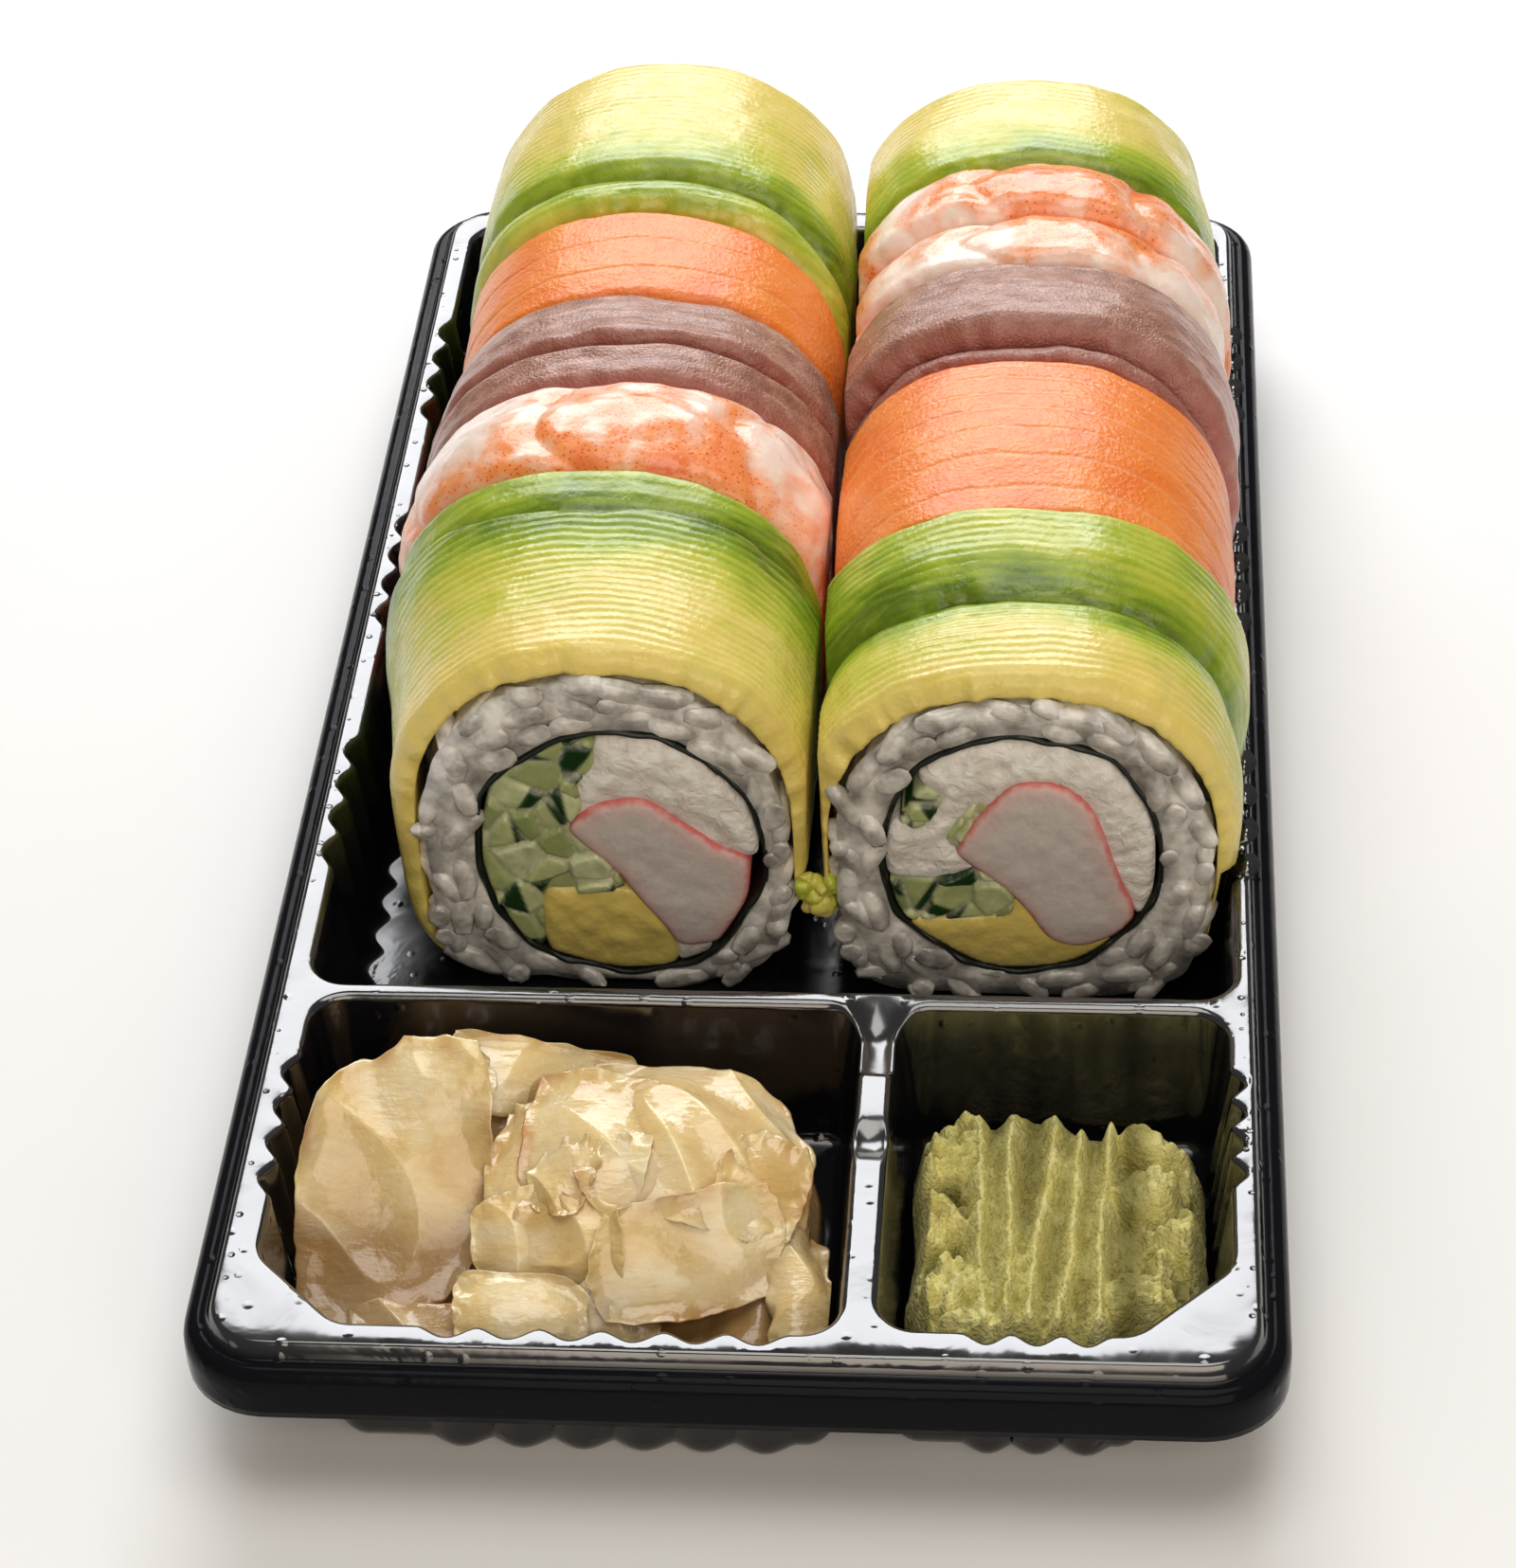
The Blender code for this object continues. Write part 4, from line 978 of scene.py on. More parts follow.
@dataclass(frozen=True)
class Water:
    """Clear drops."""

    def material(self) -> Material:
        """Builds the material."""
        sheet = NodeSheet("water")
        return sheet.finish((1.0, 1.0, 1.0), None, 0.03, transmission_weight=1.0, ior=1.33)


# The tray


@dataclass
class Tray:
    """The moulded tray: a rippled flange, a beaded rim with a skirt, and three scalloped pockets."""

    rim_half_width: float = 49.3
    rim_half_length: float = 96.1
    rim_corner: float = 8.0
    flange_inset: float = 3.2
    skirt_bottom: float = 10.4
    lip: float = 0.8
    flute_depth: float = 1.25
    thickness: float = 0.86
    step: float = 0.45
    valley_x: float = 11.2
    valley_front: float = -57.5
    valley_depth: float = 2.6
    dimple: tuple[float, float, float] = (11.2, -66.0, 1.5)

    def sink(self, points: Array) -> Array:
        """Lowers the flange in the divider's valley and dimple, less and less towards the floor.

        Args:
            points: the tray's points.

        Returns:
            The lowered points.
        """
        x, y, z = points[..., 0], points[..., 1], points[..., 2]
        near = smooth_step((z - 6.0) / 9.0)
        aside = smooth_step(1.0 - np.abs(x - self.valley_x) / 3.4)
        along = smooth_step((y - self.valley_front) / 2.2) * smooth_step((-46.6 - y) / 1.6)
        drop = self.valley_depth * aside * along
        middle_x, middle_y, radius = self.dimple
        away = ((x - middle_x) ** 2 + ((y - middle_y) / 1.6) ** 2) / radius ** 2
        drop = drop + 1.0 * np.exp(-away ** 2)
        ripple = 0.05 * noise(points * [1, 1, 0], 7.0, 3) * smooth_step((z - 15.5) / 1.2)
        return np.stack([x, y, z - drop * near + np.minimum(ripple, 0.0)], axis=-1)

    def pocket_edge(self, pocket: Pocket) -> Array:
        """A pocket's edge: rounded corners, with a raised cosine scallop at each flute's place.

        Args:
            pocket: which pocket.

        Returns:
            Rows of x, y and the outward normal's x, y.
        """
        edge = round_corners(pocket.corners(), pocket.radius, self.step)
        for side, middles, pitch in pocket.flutes:
            axis = 1 if side in ("left", "right") else 0
            fixed = {"left": pocket.left, "right": pocket.right, "front": pocket.front}[side]
            on_side = np.abs(edge[:, 1 - axis] - fixed) < 0.05
            share = np.abs(edge[:, None, axis] - np.array(middles)[None]) / pitch
            bulge = (0.5 + 0.5 * np.cos(2 * math.pi * np.minimum(share, 0.5))).max(axis=1) ** 0.8
            edge[:, :2] += edge[:, 2:] * (bulge * on_side * self.flute_depth)[:, None]
        return edge

    def pocket_rings(self) -> list[tuple[float, float]]:
        """Inset and height of each ring from the lip down the wall to the floor."""
        turn = np.linspace(0, math.pi / 2, 5)
        lip = [(-self.lip * (1 - math.sin(a)), TRAY_HEIGHT - self.lip * (1 - math.cos(a))) for a in turn]
        wall = [(WALL_DRAFT * share, TRAY_HEIGHT - self.lip - (TRAY_HEIGHT - self.lip - 2.6) * share)
                for share in (0.25, 0.5, 0.75, 1.0)]
        foot = [(1.62, 1.9), (1.95, 1.3), (2.4, 1.0), (FLOOR_CHAMFER, FLOOR)]
        return lip + wall + foot

    def build(self) -> Object:
        """Builds the tray as one sheet, then gives it the wall's thickness."""
        parts = MeshParts()
        rim = round_corners([(self.rim_half_width, -self.rim_half_length),
                             (self.rim_half_width, self.rim_half_length),
                             (-self.rim_half_width, self.rim_half_length),
                             (-self.rim_half_width, -self.rim_half_length)], self.rim_corner, 1.2)
        profile = [(self.flange_inset, TRAY_HEIGHT), (2.95, 16.94), (2.75, 16.7), (2.5, 16.2), (2.25, 15.75),
                   (1.95, 15.56), (1.5, 15.6), (1.0, 15.5), (0.55, 15.15), (0.2, 14.6), (0.03, 13.9),
                   (0.0, 13.2), (0.0, 12.2), (0.0, 11.2), (0.06, self.skirt_bottom)]
        outer = [self.ring(rim, inset, height) for inset, height in profile]
        edges = {name: self.pocket_edge(pocket) for name, pocket in POCKETS.items()}
        lips = [self.ring(edge, -self.lip, TRAY_HEIGHT)[:, :2] for edge in edges.values()]
        loops = [outer[0][:, :2], *lips]
        flat, triangles = fill_loops(loops, 2.2)
        flange = np.column_stack([flat, np.full(len(flat), TRAY_HEIGHT)])
        parts.add(self.sink(flange), [triangles])
        outside = np.repeat(smooth_step((np.arange(len(outer)) - 2.0) / 3.0), len(rim))
        parts.add(self.sink(np.stack(outer)), [grid_faces(len(outer), len(rim), True)], outside=outside)
        for edge in edges.values():
            rings = [self.ring(edge, inset, height) for inset, height in self.pocket_rings()]
            middle = rings[-1].mean(axis=0)
            rings += [middle + (rings[-1] - middle) * share for share in (0.75, 0.5, 0.25)]
            count = len(edge)
            points = np.vstack([np.vstack(rings), middle[None]])
            faces = grid_faces(len(rings), count, True)
            last = np.arange(count) + (len(rings) - 1) * count
            parts.add(self.sink(points), [faces[:, ::-1], fan_faces(last, len(points) - 1)],
                      outside=0.6 * smooth_step((TRAY_HEIGHT - 1.0 - points[:, 2]) / 2.0))
        mesh = parts.mesh("tray_shell")
        piece = place_piece("tray_shell", mesh, TrayPlastic().material(), ["tray"])
        self.join_seams(piece)
        solid = piece.modifiers.new("wall", "SOLIDIFY")
        solid.thickness = self.thickness * MM
        solid.offset = -1.0
        solid.use_even_offset = False
        return piece

    @staticmethod
    def ring(edge: Array, inset: float, height: float) -> Array:
        """An edge moved inwards along its normals and set at a height."""
        flat = edge[:, :2] - edge[:, 2:] * inset
        return np.column_stack([flat, np.full(len(flat), height)])

    @staticmethod
    def join_seams(piece: Object) -> None:
        """Merges the points where flange, rim and pockets meet, and turns the faces outwards."""
        work = bmesh.new()
        work.from_mesh(piece.data)
        bmesh.ops.remove_doubles(work, verts=work.verts, dist=0.002 * MM)
        bmesh.ops.recalc_face_normals(work, faces=work.faces)
        top = max(work.faces, key=lambda face: face.calc_center_median().z)
        if top.normal.z < 0:
            bmesh.ops.reverse_faces(work, faces=work.faces)
        work.to_mesh(piece.data)
        work.free()


# Rolls


@dataclass
class GrainField:
    """Rice grains as bent ellipsoids: 5 rings of 8 points between two poles."""

    length: float = 7.0
    width: float = 2.7
    depth: float = 2.5
    rings: int = 5
    segments: int = 8

    def unit(self) -> Array:
        """One grain's points on a unit ball, with its poles at both ends of X."""
        bend = np.linspace(0, math.pi, self.rings + 2)[1:-1]
        swing = np.linspace(0, 2 * math.pi, self.segments, endpoint=False)
        b, s = np.meshgrid(bend, swing, indexing="ij")
        body = np.stack([np.cos(b), np.sin(b) ** 0.6 * np.cos(s), np.sin(b) ** 0.6 * np.sin(s)], axis=-1)
        return np.vstack([body.reshape(-1, 3), [[1, 0, 0], [-1, 0, 0]]])

    def grains(self, centres: Array, along: Array, outward: Array, sizes: Array, seed: int) -> Array:
        """All grains' points at once.

        Args:
            centres: their middles.
            along: unit vectors along the grains.
            outward: unit vectors out of the surface that they lie on.
            sizes: a share of the full size for each.
            seed: which random draw varies their bend.

        Returns:
            An array of grains by points by 3.
        """
        draw = np.random.default_rng(seed)
        unit = self.unit()
        bend = draw.uniform(-0.5, 0.5, len(centres))[:, None]
        side = np.cross(outward, along)
        side /= np.linalg.norm(side, axis=1)[:, None]
        a = unit[None, :, 0] * self.length / 2
        b = unit[None, :, 1] * self.width / 2 + bend * (unit[None, :, 0] ** 2 - 0.4)
        c = unit[None, :, 2] * self.depth / 2
        shape = (a[..., None] * along[:, None] + b[..., None] * side[:, None]
                 + c[..., None] * outward[:, None])
        return centres[:, None] + shape * sizes[:, None, None]

    def faces(self, count: int) -> list[Array]:
        """Faces of that many grains."""
        return ball_faces(self.rings, self.segments, count)


@dataclass
class RiceRoll:
    """A roll's rice: its own bumpy tube, with separate grains on both cut faces and at its sides."""

    row: Row
    clearance: float = 0.3
    cut_proud: float = 0.75
    face_pitch: float = 5.2
    layer: float = 2.35
    most_layers: int = 4

    def core(self, parts: MeshParts) -> None:
        """Adds the tube between the outline and the seaweed, with grain-sized bumps."""
        row = self.row
        turns = np.linspace(-math.pi, math.pi, 160, endpoint=False)
        stations = np.concatenate([[row.front - 0.02], np.linspace(row.front + 0.9, row.back - 0.9, 90),
                                   [row.back + 0.02]])
        turn, y = np.meshgrid(turns, stations, indexing="xy")
        bumps = 0.45 * noise(row.outline(turn, y, 0.0) * [1, 0.6, 1], 3.0, 5) - 0.4
        outer = row.outline(turn, y, bumps)
        middle = row.outline(turn, y, 0.0)
        angle = np.arctan2((middle[..., 2] - row.ring_z) / row.ring_b,
                           (middle[..., 0] - row.ring_x) / row.ring_a)
        inner = row.ring(angle, y, self.clearance)
        rows, count = outer.shape[:2]
        start = rows * count
        ring = np.arange(count)
        end = (rows - 1) * count
        caps = [band_faces(ring, ring + start), band_faces(ring + end, ring + end + start)[:, ::-1]]
        parts.add(np.vstack([outer.reshape(-1, 3), inner.reshape(-1, 3)]),
                  [grid_faces(rows, count, True)[:, ::-1], grid_faces(rows, count, True, start), *caps])

    def face_grains(self, y: float, facing: float, seed: int) -> tuple[Array, Array, Array, Array]:
        """Grains in circles round the seaweed, on a cut face.

        Args:
            y: the face's place.
            facing: -1 for the front face and 1 for the back one.
            seed: which random draw it is.

        Returns:
            Middles, directions along, directions out and sizes.
        """
        row = self.row
        draw = np.random.default_rng(seed)
        steps = 1440
        angle = np.linspace(0, 2 * math.pi, steps, endpoint=False)
        inner = row.ring(angle, np.full(steps, y), self.clearance)
        outward = np.stack([np.cos(angle) / row.ring_a, 0 * angle, np.sin(angle) / row.ring_b], axis=-1)
        outward /= np.linalg.norm(outward, axis=1)[:, None]
        outline = row.outline(np.linspace(-math.pi, math.pi, steps), np.full(steps, y), 0.0)
        reach = outline[None] - inner[:, None]
        away = np.sum(reach * outward[:, None], axis=2)
        aside = np.linalg.norm(reach - away[..., None] * outward[:, None], axis=2)
        facing_out = np.where(away > 0, aside, np.inf)
        thickness = away[np.arange(steps), np.argmin(facing_out, axis=1)]
        layers = np.clip(np.round(thickness / self.layer), 1, self.most_layers)
        found = []
        for level in range(self.most_layers):
            middle = inner + outward * (thickness * np.minimum((level + 0.5) / layers, 1.0))[:, None]
            walked = np.cumsum(np.linalg.norm(np.diff(middle, axis=0, prepend=middle[-1:]), axis=1))
            walked += draw.uniform(0, self.face_pitch)
            here = np.nonzero(np.diff(np.floor(walked / self.face_pitch), prepend=0) > 0)[0]
            here = here[(layers[here] > level) & (thickness[here] > 1.6)]
            tilt = draw.normal(0.0, 0.38, len(here))
            tangent = np.cross(outward[here], [0.0, 1.0, 0.0])
            along = tangent * np.cos(tilt)[:, None] + outward[here] * np.sin(tilt)[:, None]
            along[:, 1] += draw.uniform(-0.75, 0.75, len(here))
            along /= np.linalg.norm(along, axis=1)[:, None]
            size = np.minimum(1.0, thickness[here] / layers[here] / (self.layer * 0.9))
            centre = middle[here] + draw.uniform(-0.25, 0.25, (len(here), 3)) * [1, 1.6, 1]
            found.append((centre, along, size * draw.uniform(0.86, 1.04, len(here))))
        centres, along, sizes = (np.concatenate([item[k] for item in found]) for k in range(3))
        out = np.zeros_like(centres)
        out[:, 1] = facing
        return centres, along, out, sizes

    def side_grains(self, seed: int) -> tuple[Array, Array, Array, Array]:
        """Grains scattered over both sides, below and just under the toppings' ends.

        Args:
            seed: which random draw it is.

        Returns:
            Middles, directions along, directions out and sizes.
        """
        row = self.row
        draw = np.random.default_rng(seed)
        turns = np.concatenate([row.even_turns(1.4, 20.0, 400)[:120], row.even_turns(20.0, 1.4, 400)[-120:]])
        turns = turns[np.abs(turns) > 1.2]
        columns = int((row.back - row.front) / 3.6)
        picks = np.arange(0, len(turns), 12)
        turn, y = np.meshgrid(turns[picks], np.linspace(row.front + 2, row.back - 2, columns), indexing="ij")
        turn = (turn + draw.uniform(-0.04, 0.04, turn.shape)).ravel()
        y = (y + draw.uniform(-1.5, 1.5, y.shape)).ravel()
        centres = row.outline(turn, y, -0.75)
        out = row.outline(turn, y, 0.4) - row.outline(turn, y, -1.2)
        out[:, 1] = 0
        out /= np.maximum(np.linalg.norm(out, axis=1), 1e-6)[:, None]
        out = np.where(np.linalg.norm(out, axis=1)[:, None] < 0.5, [[1.0, 0.0, 0.0]], out)
        swing = draw.uniform(0, math.pi, len(turn))
        tangent = np.cross(out, [0.0, 1.0, 0.0])
        along = tangent * np.sin(swing)[:, None] + np.array([0, 1.0, 0]) * np.cos(swing)[:, None]
        return centres, along, out, draw.uniform(0.82, 1.0, len(turn))

    def build(self, material: Material) -> Object:
        """Builds the rice as one piece."""
        row = self.row
        parts = MeshParts()
        self.core(parts)
        field_of_grains = GrainField()
        groups = [self.face_grains(row.front + 0.62, -1.0, 11), self.face_grains(row.back - 0.62, 1.0, 12),
                  self.side_grains(13)]
        if row.name == "left":
            groups.append(self.stray_grains())
        for number, (centres, along, out, sizes) in enumerate(groups):
            points = field_of_grains.grains(centres, along, out, sizes, 40 + number)
            z = np.maximum(points[..., 2], FOOD_BASE)
            x = row.press(points[..., 0], z, row.DEEPEST_LIFT)
            y = np.clip(points[..., 1], row.front - self.cut_proud, row.back + self.cut_proud)
            points = np.stack([x, y, z], axis=-1)
            parts.add(points, field_of_grains.faces(len(centres)))
        name = f"rice_{row.name}"
        return place_piece(f"{name}_grains", parts.mesh(name), material, [name])

    def stray_grains(self) -> tuple[Array, Array, Array, Array]:
        """The few grains that show beside the left roll's second slice of avocado."""
        y = np.array([2.2, 4.6, 6.8, 3.2, 5.8])
        turn = np.array([-1.32, -1.36, -1.32, -1.54, -1.56])
        centres = self.row.outline(turn, y, 2.0)
        out = np.array([[-0.93, -0.2, 0.3]] * len(y))
        out /= np.linalg.norm(out, axis=1)[:, None]
        lean = np.array([1.25, 1.0, 1.5, 0.8, 1.3])
        along = np.stack([0 * y, np.cos(lean), np.sin(lean)], axis=-1)
        along -= out * np.sum(along * out, axis=1)[:, None]
        along /= np.linalg.norm(along, axis=1)[:, None]
        return centres, along, out, np.full(len(y), 0.9)


@dataclass
class Nori:
    """The seaweed sheet: a thin, wavy tube through the whole roll."""

    row: Row
    thickness: float = 0.34

    def build(self, material: Material) -> Object:
        """Builds the sheet with ragged ends."""
        row = self.row
        angles = np.linspace(0, 2 * math.pi, 260, endpoint=False)
        stations = np.array([row.front - 0.1, row.front + 0.6, row.back - 0.6, row.back + 0.1])
        y, angle = np.meshgrid(stations, angles, indexing="ij")
        ragged = noise(np.stack([np.cos(angle) * 12, np.sin(angle) * 12, 0 * angle], axis=-1), 1.6, 21)
        y[0] += 0.35 * ragged[0]
        y[-1] -= 0.35 * ragged[-1]
        wander = 0.4 * noise(np.stack([np.cos(angle) * 14, np.sin(angle) * 14, y * 0.05], axis=-1), 3.0, 22)
        outer = row.ring(angle, y, 0.1 + wander)
        inner = row.ring(angle, y, wander - self.thickness)
        section = np.stack([outer[0], outer[1], outer[2], outer[3], inner[3], inner[2], inner[1], inner[0]])
        faces = grid_faces(len(section), len(angles), True)
        ring = np.arange(len(angles))
        last = ring + (len(section) - 1) * len(angles)
        parts = MeshParts()
        parts.add(section, [np.vstack([faces, band_faces(last, ring)])[:, ::-1]])
        name = f"nori_{row.name}"
        return place_piece(f"{name}_sheet", parts.mesh(name), material, [name])


def inset_polygon(points: Sequence[Sequence[float]], distance: float) -> Array:
    """A polygon, made anticlockwise, with each side moved inwards by a distance.

    Args:
        points: its corners.
        distance: how far, or outwards where it is negative.

    Returns:
        The new corners.
    """
    points = np.array(points, float)
    area = np.sum(points[:, 0] * np.roll(points[:, 1], -1) - np.roll(points[:, 0], -1) * points[:, 1])
    if area < 0:
        points = points[::-1]
    ahead = np.roll(points, -1, axis=0) - points
    ahead /= np.linalg.norm(ahead, axis=1)[:, None]
    normal = np.stack([-ahead[:, 1], ahead[:, 0]], axis=1)
    before = np.roll(normal, 1, axis=0)
    share = 1 + np.sum(before * normal, axis=1)
    return points + (before + normal) * (distance / np.maximum(share, 0.5))[:, None]


Relief = Callable[[Array, Array], tuple[Array, dict[str, Array]]]


@dataclass
class Filling:
    """A filling that runs through a roll with one section, and has relief on both cut faces."""

    name: str
    row: Row
    outline: Sequence[Sequence[float]]
    slot: Slot
    relief: Relief
    proud: float = 0.0
    spacing: float = 0.42
    swell: float = 0.2

    def build(self, material: Material) -> Object:
        """Builds both faces and the wall between them.

        Args:
            material: its finish.

        Returns:
            The new object.
        """
        loop = resample(cut_corners(inset_polygon(self.outline, -self.swell), 2), self.spacing)
        flat, triangles = fill_loops([loop], self.spacing)
        away = edge_distance(flat, [loop])
        height, traits = self.relief(flat, away)
        parts = MeshParts()
        count = len(flat)
        x, z = flat[:, 0] + self.row.ring_x, flat[:, 1] + self.row.ring_z
        front = np.stack([x, self.row.front + 0.3 - self.proud - height, z], axis=-1)
        back = np.stack([x, self.row.back - 0.3 + self.proud + height, z], axis=-1)
        ring = np.arange(len(loop))
        wall = np.stack([ring, ring + count, np.roll(ring, -1) + count, np.roll(ring, -1)], axis=-1)
        traits = {name: np.concatenate([value, value]) for name, value in traits.items()}
        parts.add(np.vstack([front, back]), [triangles, triangles[:, ::-1] + count, wall], **traits)
        return place_piece(f"{self.name}_cut", parts.mesh(self.name), material, [self.name])


def soft_relief(size: float, depth: float, seed: int, bulge: float = 0.35, radius: float = 0.5) -> Relief:
    """A pillowed face with lumps: bulge times (1 - e^(-distance/radius)) plus fractal noise.

    Args:
        size: the width of a lump.
        depth: the lumps' height.
        seed: which noise it is.
        bulge: how far the face stands out of its edge.
        radius: how quickly it rises from the edge.

    Returns:
        The function that a filling calls with its points and their distances from its edge.
    """
    def relief(flat: Array, away: Array) -> tuple[Array, dict[str, Array]]:
        """The face's height, and its distance from the edge as the trait rim."""
        rise = 1 - np.exp(-away / radius)
        lumps = fractal(np.column_stack([flat, np.full(len(flat), seed * 3.1)]), size, 3, seed)
        return bulge * rise + depth * lumps * rise, {"rim": away}
    return relief


def creased_relief(middle: tuple[float, float], seed: int) -> Relief:
    """Cheese torn in creases that run out from a middle: a ridged wave of the angle, plus lumps."""
    def relief(flat: Array, away: Array) -> tuple[Array, dict[str, Array]]:
        """The face's height, and its distance from the edge as the trait rim."""
        offset = flat - np.array(middle)
        angle = np.arctan2(offset[:, 1], offset[:, 0])
        rise = 1 - np.exp(-away / 0.7)
        points = np.column_stack([flat, np.zeros(len(flat))])
        wave = np.abs(np.sin(angle * 17 + 1.6 * noise(points, 3.0, seed)))
        lumps = fractal(points, 3.2, 4, seed + 1)
        return rise * (0.45 + 0.22 * wave + 0.30 * lumps), {"rim": away}
    return relief


def baton_relief(seed: int, pitch: float, skins: float) -> Relief:
    """Cut batons packed side by side: cells round scattered seeds, each with its own tilt.

    Args:
        seed: which random draw it is.
        pitch: the distance between the seeds.
        skins: the share of the batons that have a strip of skin.

    Returns:
        The function that a filling calls with its points and their distances from its edge.
    """
    def relief(flat: Array, away: Array) -> tuple[Array, dict[str, Array]]:
        """The face's height, and groove, tone and skin at each point."""
        draw = np.random.default_rng(seed)
        low, high = flat.min(axis=0), flat.max(axis=0)
        x, y = np.meshgrid(np.arange(low[0], high[0] + pitch, pitch),
                           np.arange(low[1], high[1] + pitch, pitch), indexing="ij")
        seeds = np.stack([x.ravel(), y.ravel()], axis=-1) + draw.uniform(-0.42, 0.42, (x.size, 2)) * pitch
        distance = np.linalg.norm(flat[:, None] - seeds[None], axis=2)
        order = np.argsort(distance, axis=1)
        own = order[:, 0]
        nearest = np.take_along_axis(distance, order[:, :2], axis=1)
        border = np.minimum((nearest[:, 1] - nearest[:, 0]) / 2, away)
        tilt = draw.uniform(-0.16, 0.16, (len(seeds), 2))
        level = draw.uniform(-0.35, 0.35, len(seeds))
        offset = flat - seeds[own]
        height = 0.35 + level[own] + np.sum(offset * tilt[own], axis=1)
        height = height * smooth_step(border / 0.35) - 0.25 * (1 - smooth_step(border / 0.4))
        swing = draw.uniform(0, 2 * math.pi, len(seeds))
        direction = np.stack([np.cos(swing), np.sin(swing)], axis=-1)
        has_skin = draw.uniform(0, 1, len(seeds)) < skins
        across = np.sum(offset * direction[own], axis=1)
        skin = has_skin[own] * smooth_step((across - pitch * 0.12) / 0.35)
        groove = (1 - smooth_step(border / 0.3)) * smooth_step(away / 0.4)
        tone = draw.uniform(0, 1, len(seeds))[own]
        return height, {"groove": groove, "tone": tone, "skin": skin, "rim": away}
    return relief


def ring_arc(row: Row, first: float, last: float, count: int = 6) -> list[tuple[float, float]]:
    """Points on the inner side of the seaweed, from its middle, between two angles in degrees."""
    angles = np.radians(np.linspace(first, last, count))
    arc = row.ring(angles, np.zeros(count), -0.65)
    return [(point[0] - row.ring_x, point[2] - row.ring_z) for point in arc]


@dataclass
class Fillings:
    """What runs through both rolls, from the corners that the solids share."""

    left: Row
    right: Row

    def left_pieces(self) -> list[Filling]:
        """Crab stick, cucumber, avocado and cream cheese of the left roll."""
        row = self.left
        tip = (-4.9, 3.6)
        crab_top = [tip, (-2.0, 6.4), (2.8, 7.4), (6.2, 4.4), (9.8, 1.2), (12.9, 0.0)]
        crab_right = [(12.5, -5.0), (10.2, -9.4), (9.1, -11.0), (5.6, -11.6)]
        crab_left = [(4.3, -9.0), (2.0, -5.6), (-0.6, -1.2), (-3.2, 1.4)]
        notch = [(-3.3, 6.0), (-4.0, 9.0), (-1.9, 11.0)]
        avocado_top = [(-7.9, -4.2), (-5.5, -4.8), (0.4, -4.6)]
        return [
            Filling("crab_stick_left", row, crab_top + crab_right + crab_left, Slot.CRAB,
                    soft_relief(2.0, 0.10, 31, 0.5, 0.35), 0.5),
            Filling("cream_cheese_left", row, ring_arc(row, 2, 96, 9) + notch[::-1] + crab_top, Slot.CHEESE,
                    soft_relief(3.0, 0.35, 32, 0.6, 0.8)),
            Filling("avocado_strip_left", row, avocado_top + crab_left[1::-1] + [(4.9, -10.4)]
                    + ring_arc(row, 291, 236, 6), Slot.AVOCADO, soft_relief(1.8, 0.22, 33, 0.4), 0.2),
            Filling("cream_cheese_base_left", row, [(4.9, -10.4), (5.6, -11.6), (8.6, -11.1)]
                    + ring_arc(row, 306, 292, 4), Slot.CHEESE, soft_relief(1.4, 0.3, 34, 0.4)),
            Filling("cucumber_left", row, ring_arc(row, 97, 235, 15) + avocado_top + crab_left[2:] + [tip]
                    + notch, Slot.CUCUMBER, baton_relief(5, 3.5, 0.5), 0.3, 0.3),
        ]

    def right_pieces(self) -> list[Filling]:
        """Crab stick, cucumber batons, avocado and cream cheese of the right roll."""
        row = self.right
        crab_top = [(-6.2, 0.5), (-5.4, 2.6), (-3.0, 6.1), (-0.6, 9.2), (3.9, 9.2), (6.6, 6.5),
                    (7.9, 3.2), (9.2, -1.6), (11.4, -7.0)]
        crab_base = [(9.3, -9.8), (6.0, -11.4), (3.0, -10.6), (0.6, -6.3), (-1.8, -3.4), (-4.3, -1.4)]
        seam = [(-9.0, -3.2), (-6.2, -2.6), (-4.3, -1.4)]
        baton_a = [(-9.4, 8.9), (-7.3, 7.0), (-9.6, 3.2), (-12.1, 4.0)]
        baton_b = [(-4.4, 6.9), (-7.6, 1.9)] + crab_top[:3]
        cheese = (ring_arc(row, -28, 136, 15) + baton_a + ring_arc(row, 167, 191, 3) + seam
                  + [crab_top[0], (-7.6, 1.9), (-4.4, 6.9)] + crab_top[2:])
        return [
            Filling("crab_stick_right", row, crab_top + crab_base, Slot.CRAB,
                    soft_relief(2.0, 0.10, 41, 0.5, 0.35), 0.5),
            Filling("cucumber_baton_right_a", row, baton_a, Slot.CUCUMBER, baton_relief(8, 2.6, 0.9),
                    0.3, 0.3),
            Filling("cucumber_baton_right_b", row, baton_b, Slot.CUCUMBER, baton_relief(9, 2.6, 0.3),
                    0.3, 0.3),
            Filling("cream_cheese_right", row, cheese, Slot.CHEESE, creased_relief((1.5, -1.0), 43)),
            Filling("cucumber_right", row, seam + [(-1.8, -3.4), (-0.4, -5.2), (-1.0, -8.0), (-8.8, -8.2)]
                    + ring_arc(row, 215, 192, 4), Slot.CUCUMBER, baton_relief(17, 3.6, 0.6), 0.3, 0.3),
            Filling("avocado_strip_right", row, [(-8.8, -8.2), (-1.0, -8.0), (-0.4, -5.2), (0.6, -6.3),
                    (3.0, -10.6), (6.0, -11.4), (8.2, -10.4)] + ring_arc(row, 312, 216, 11), Slot.AVOCADO,
                    soft_relief(2.2, 0.2, 45, 0.4), 0.2),
        ]


# Toppings


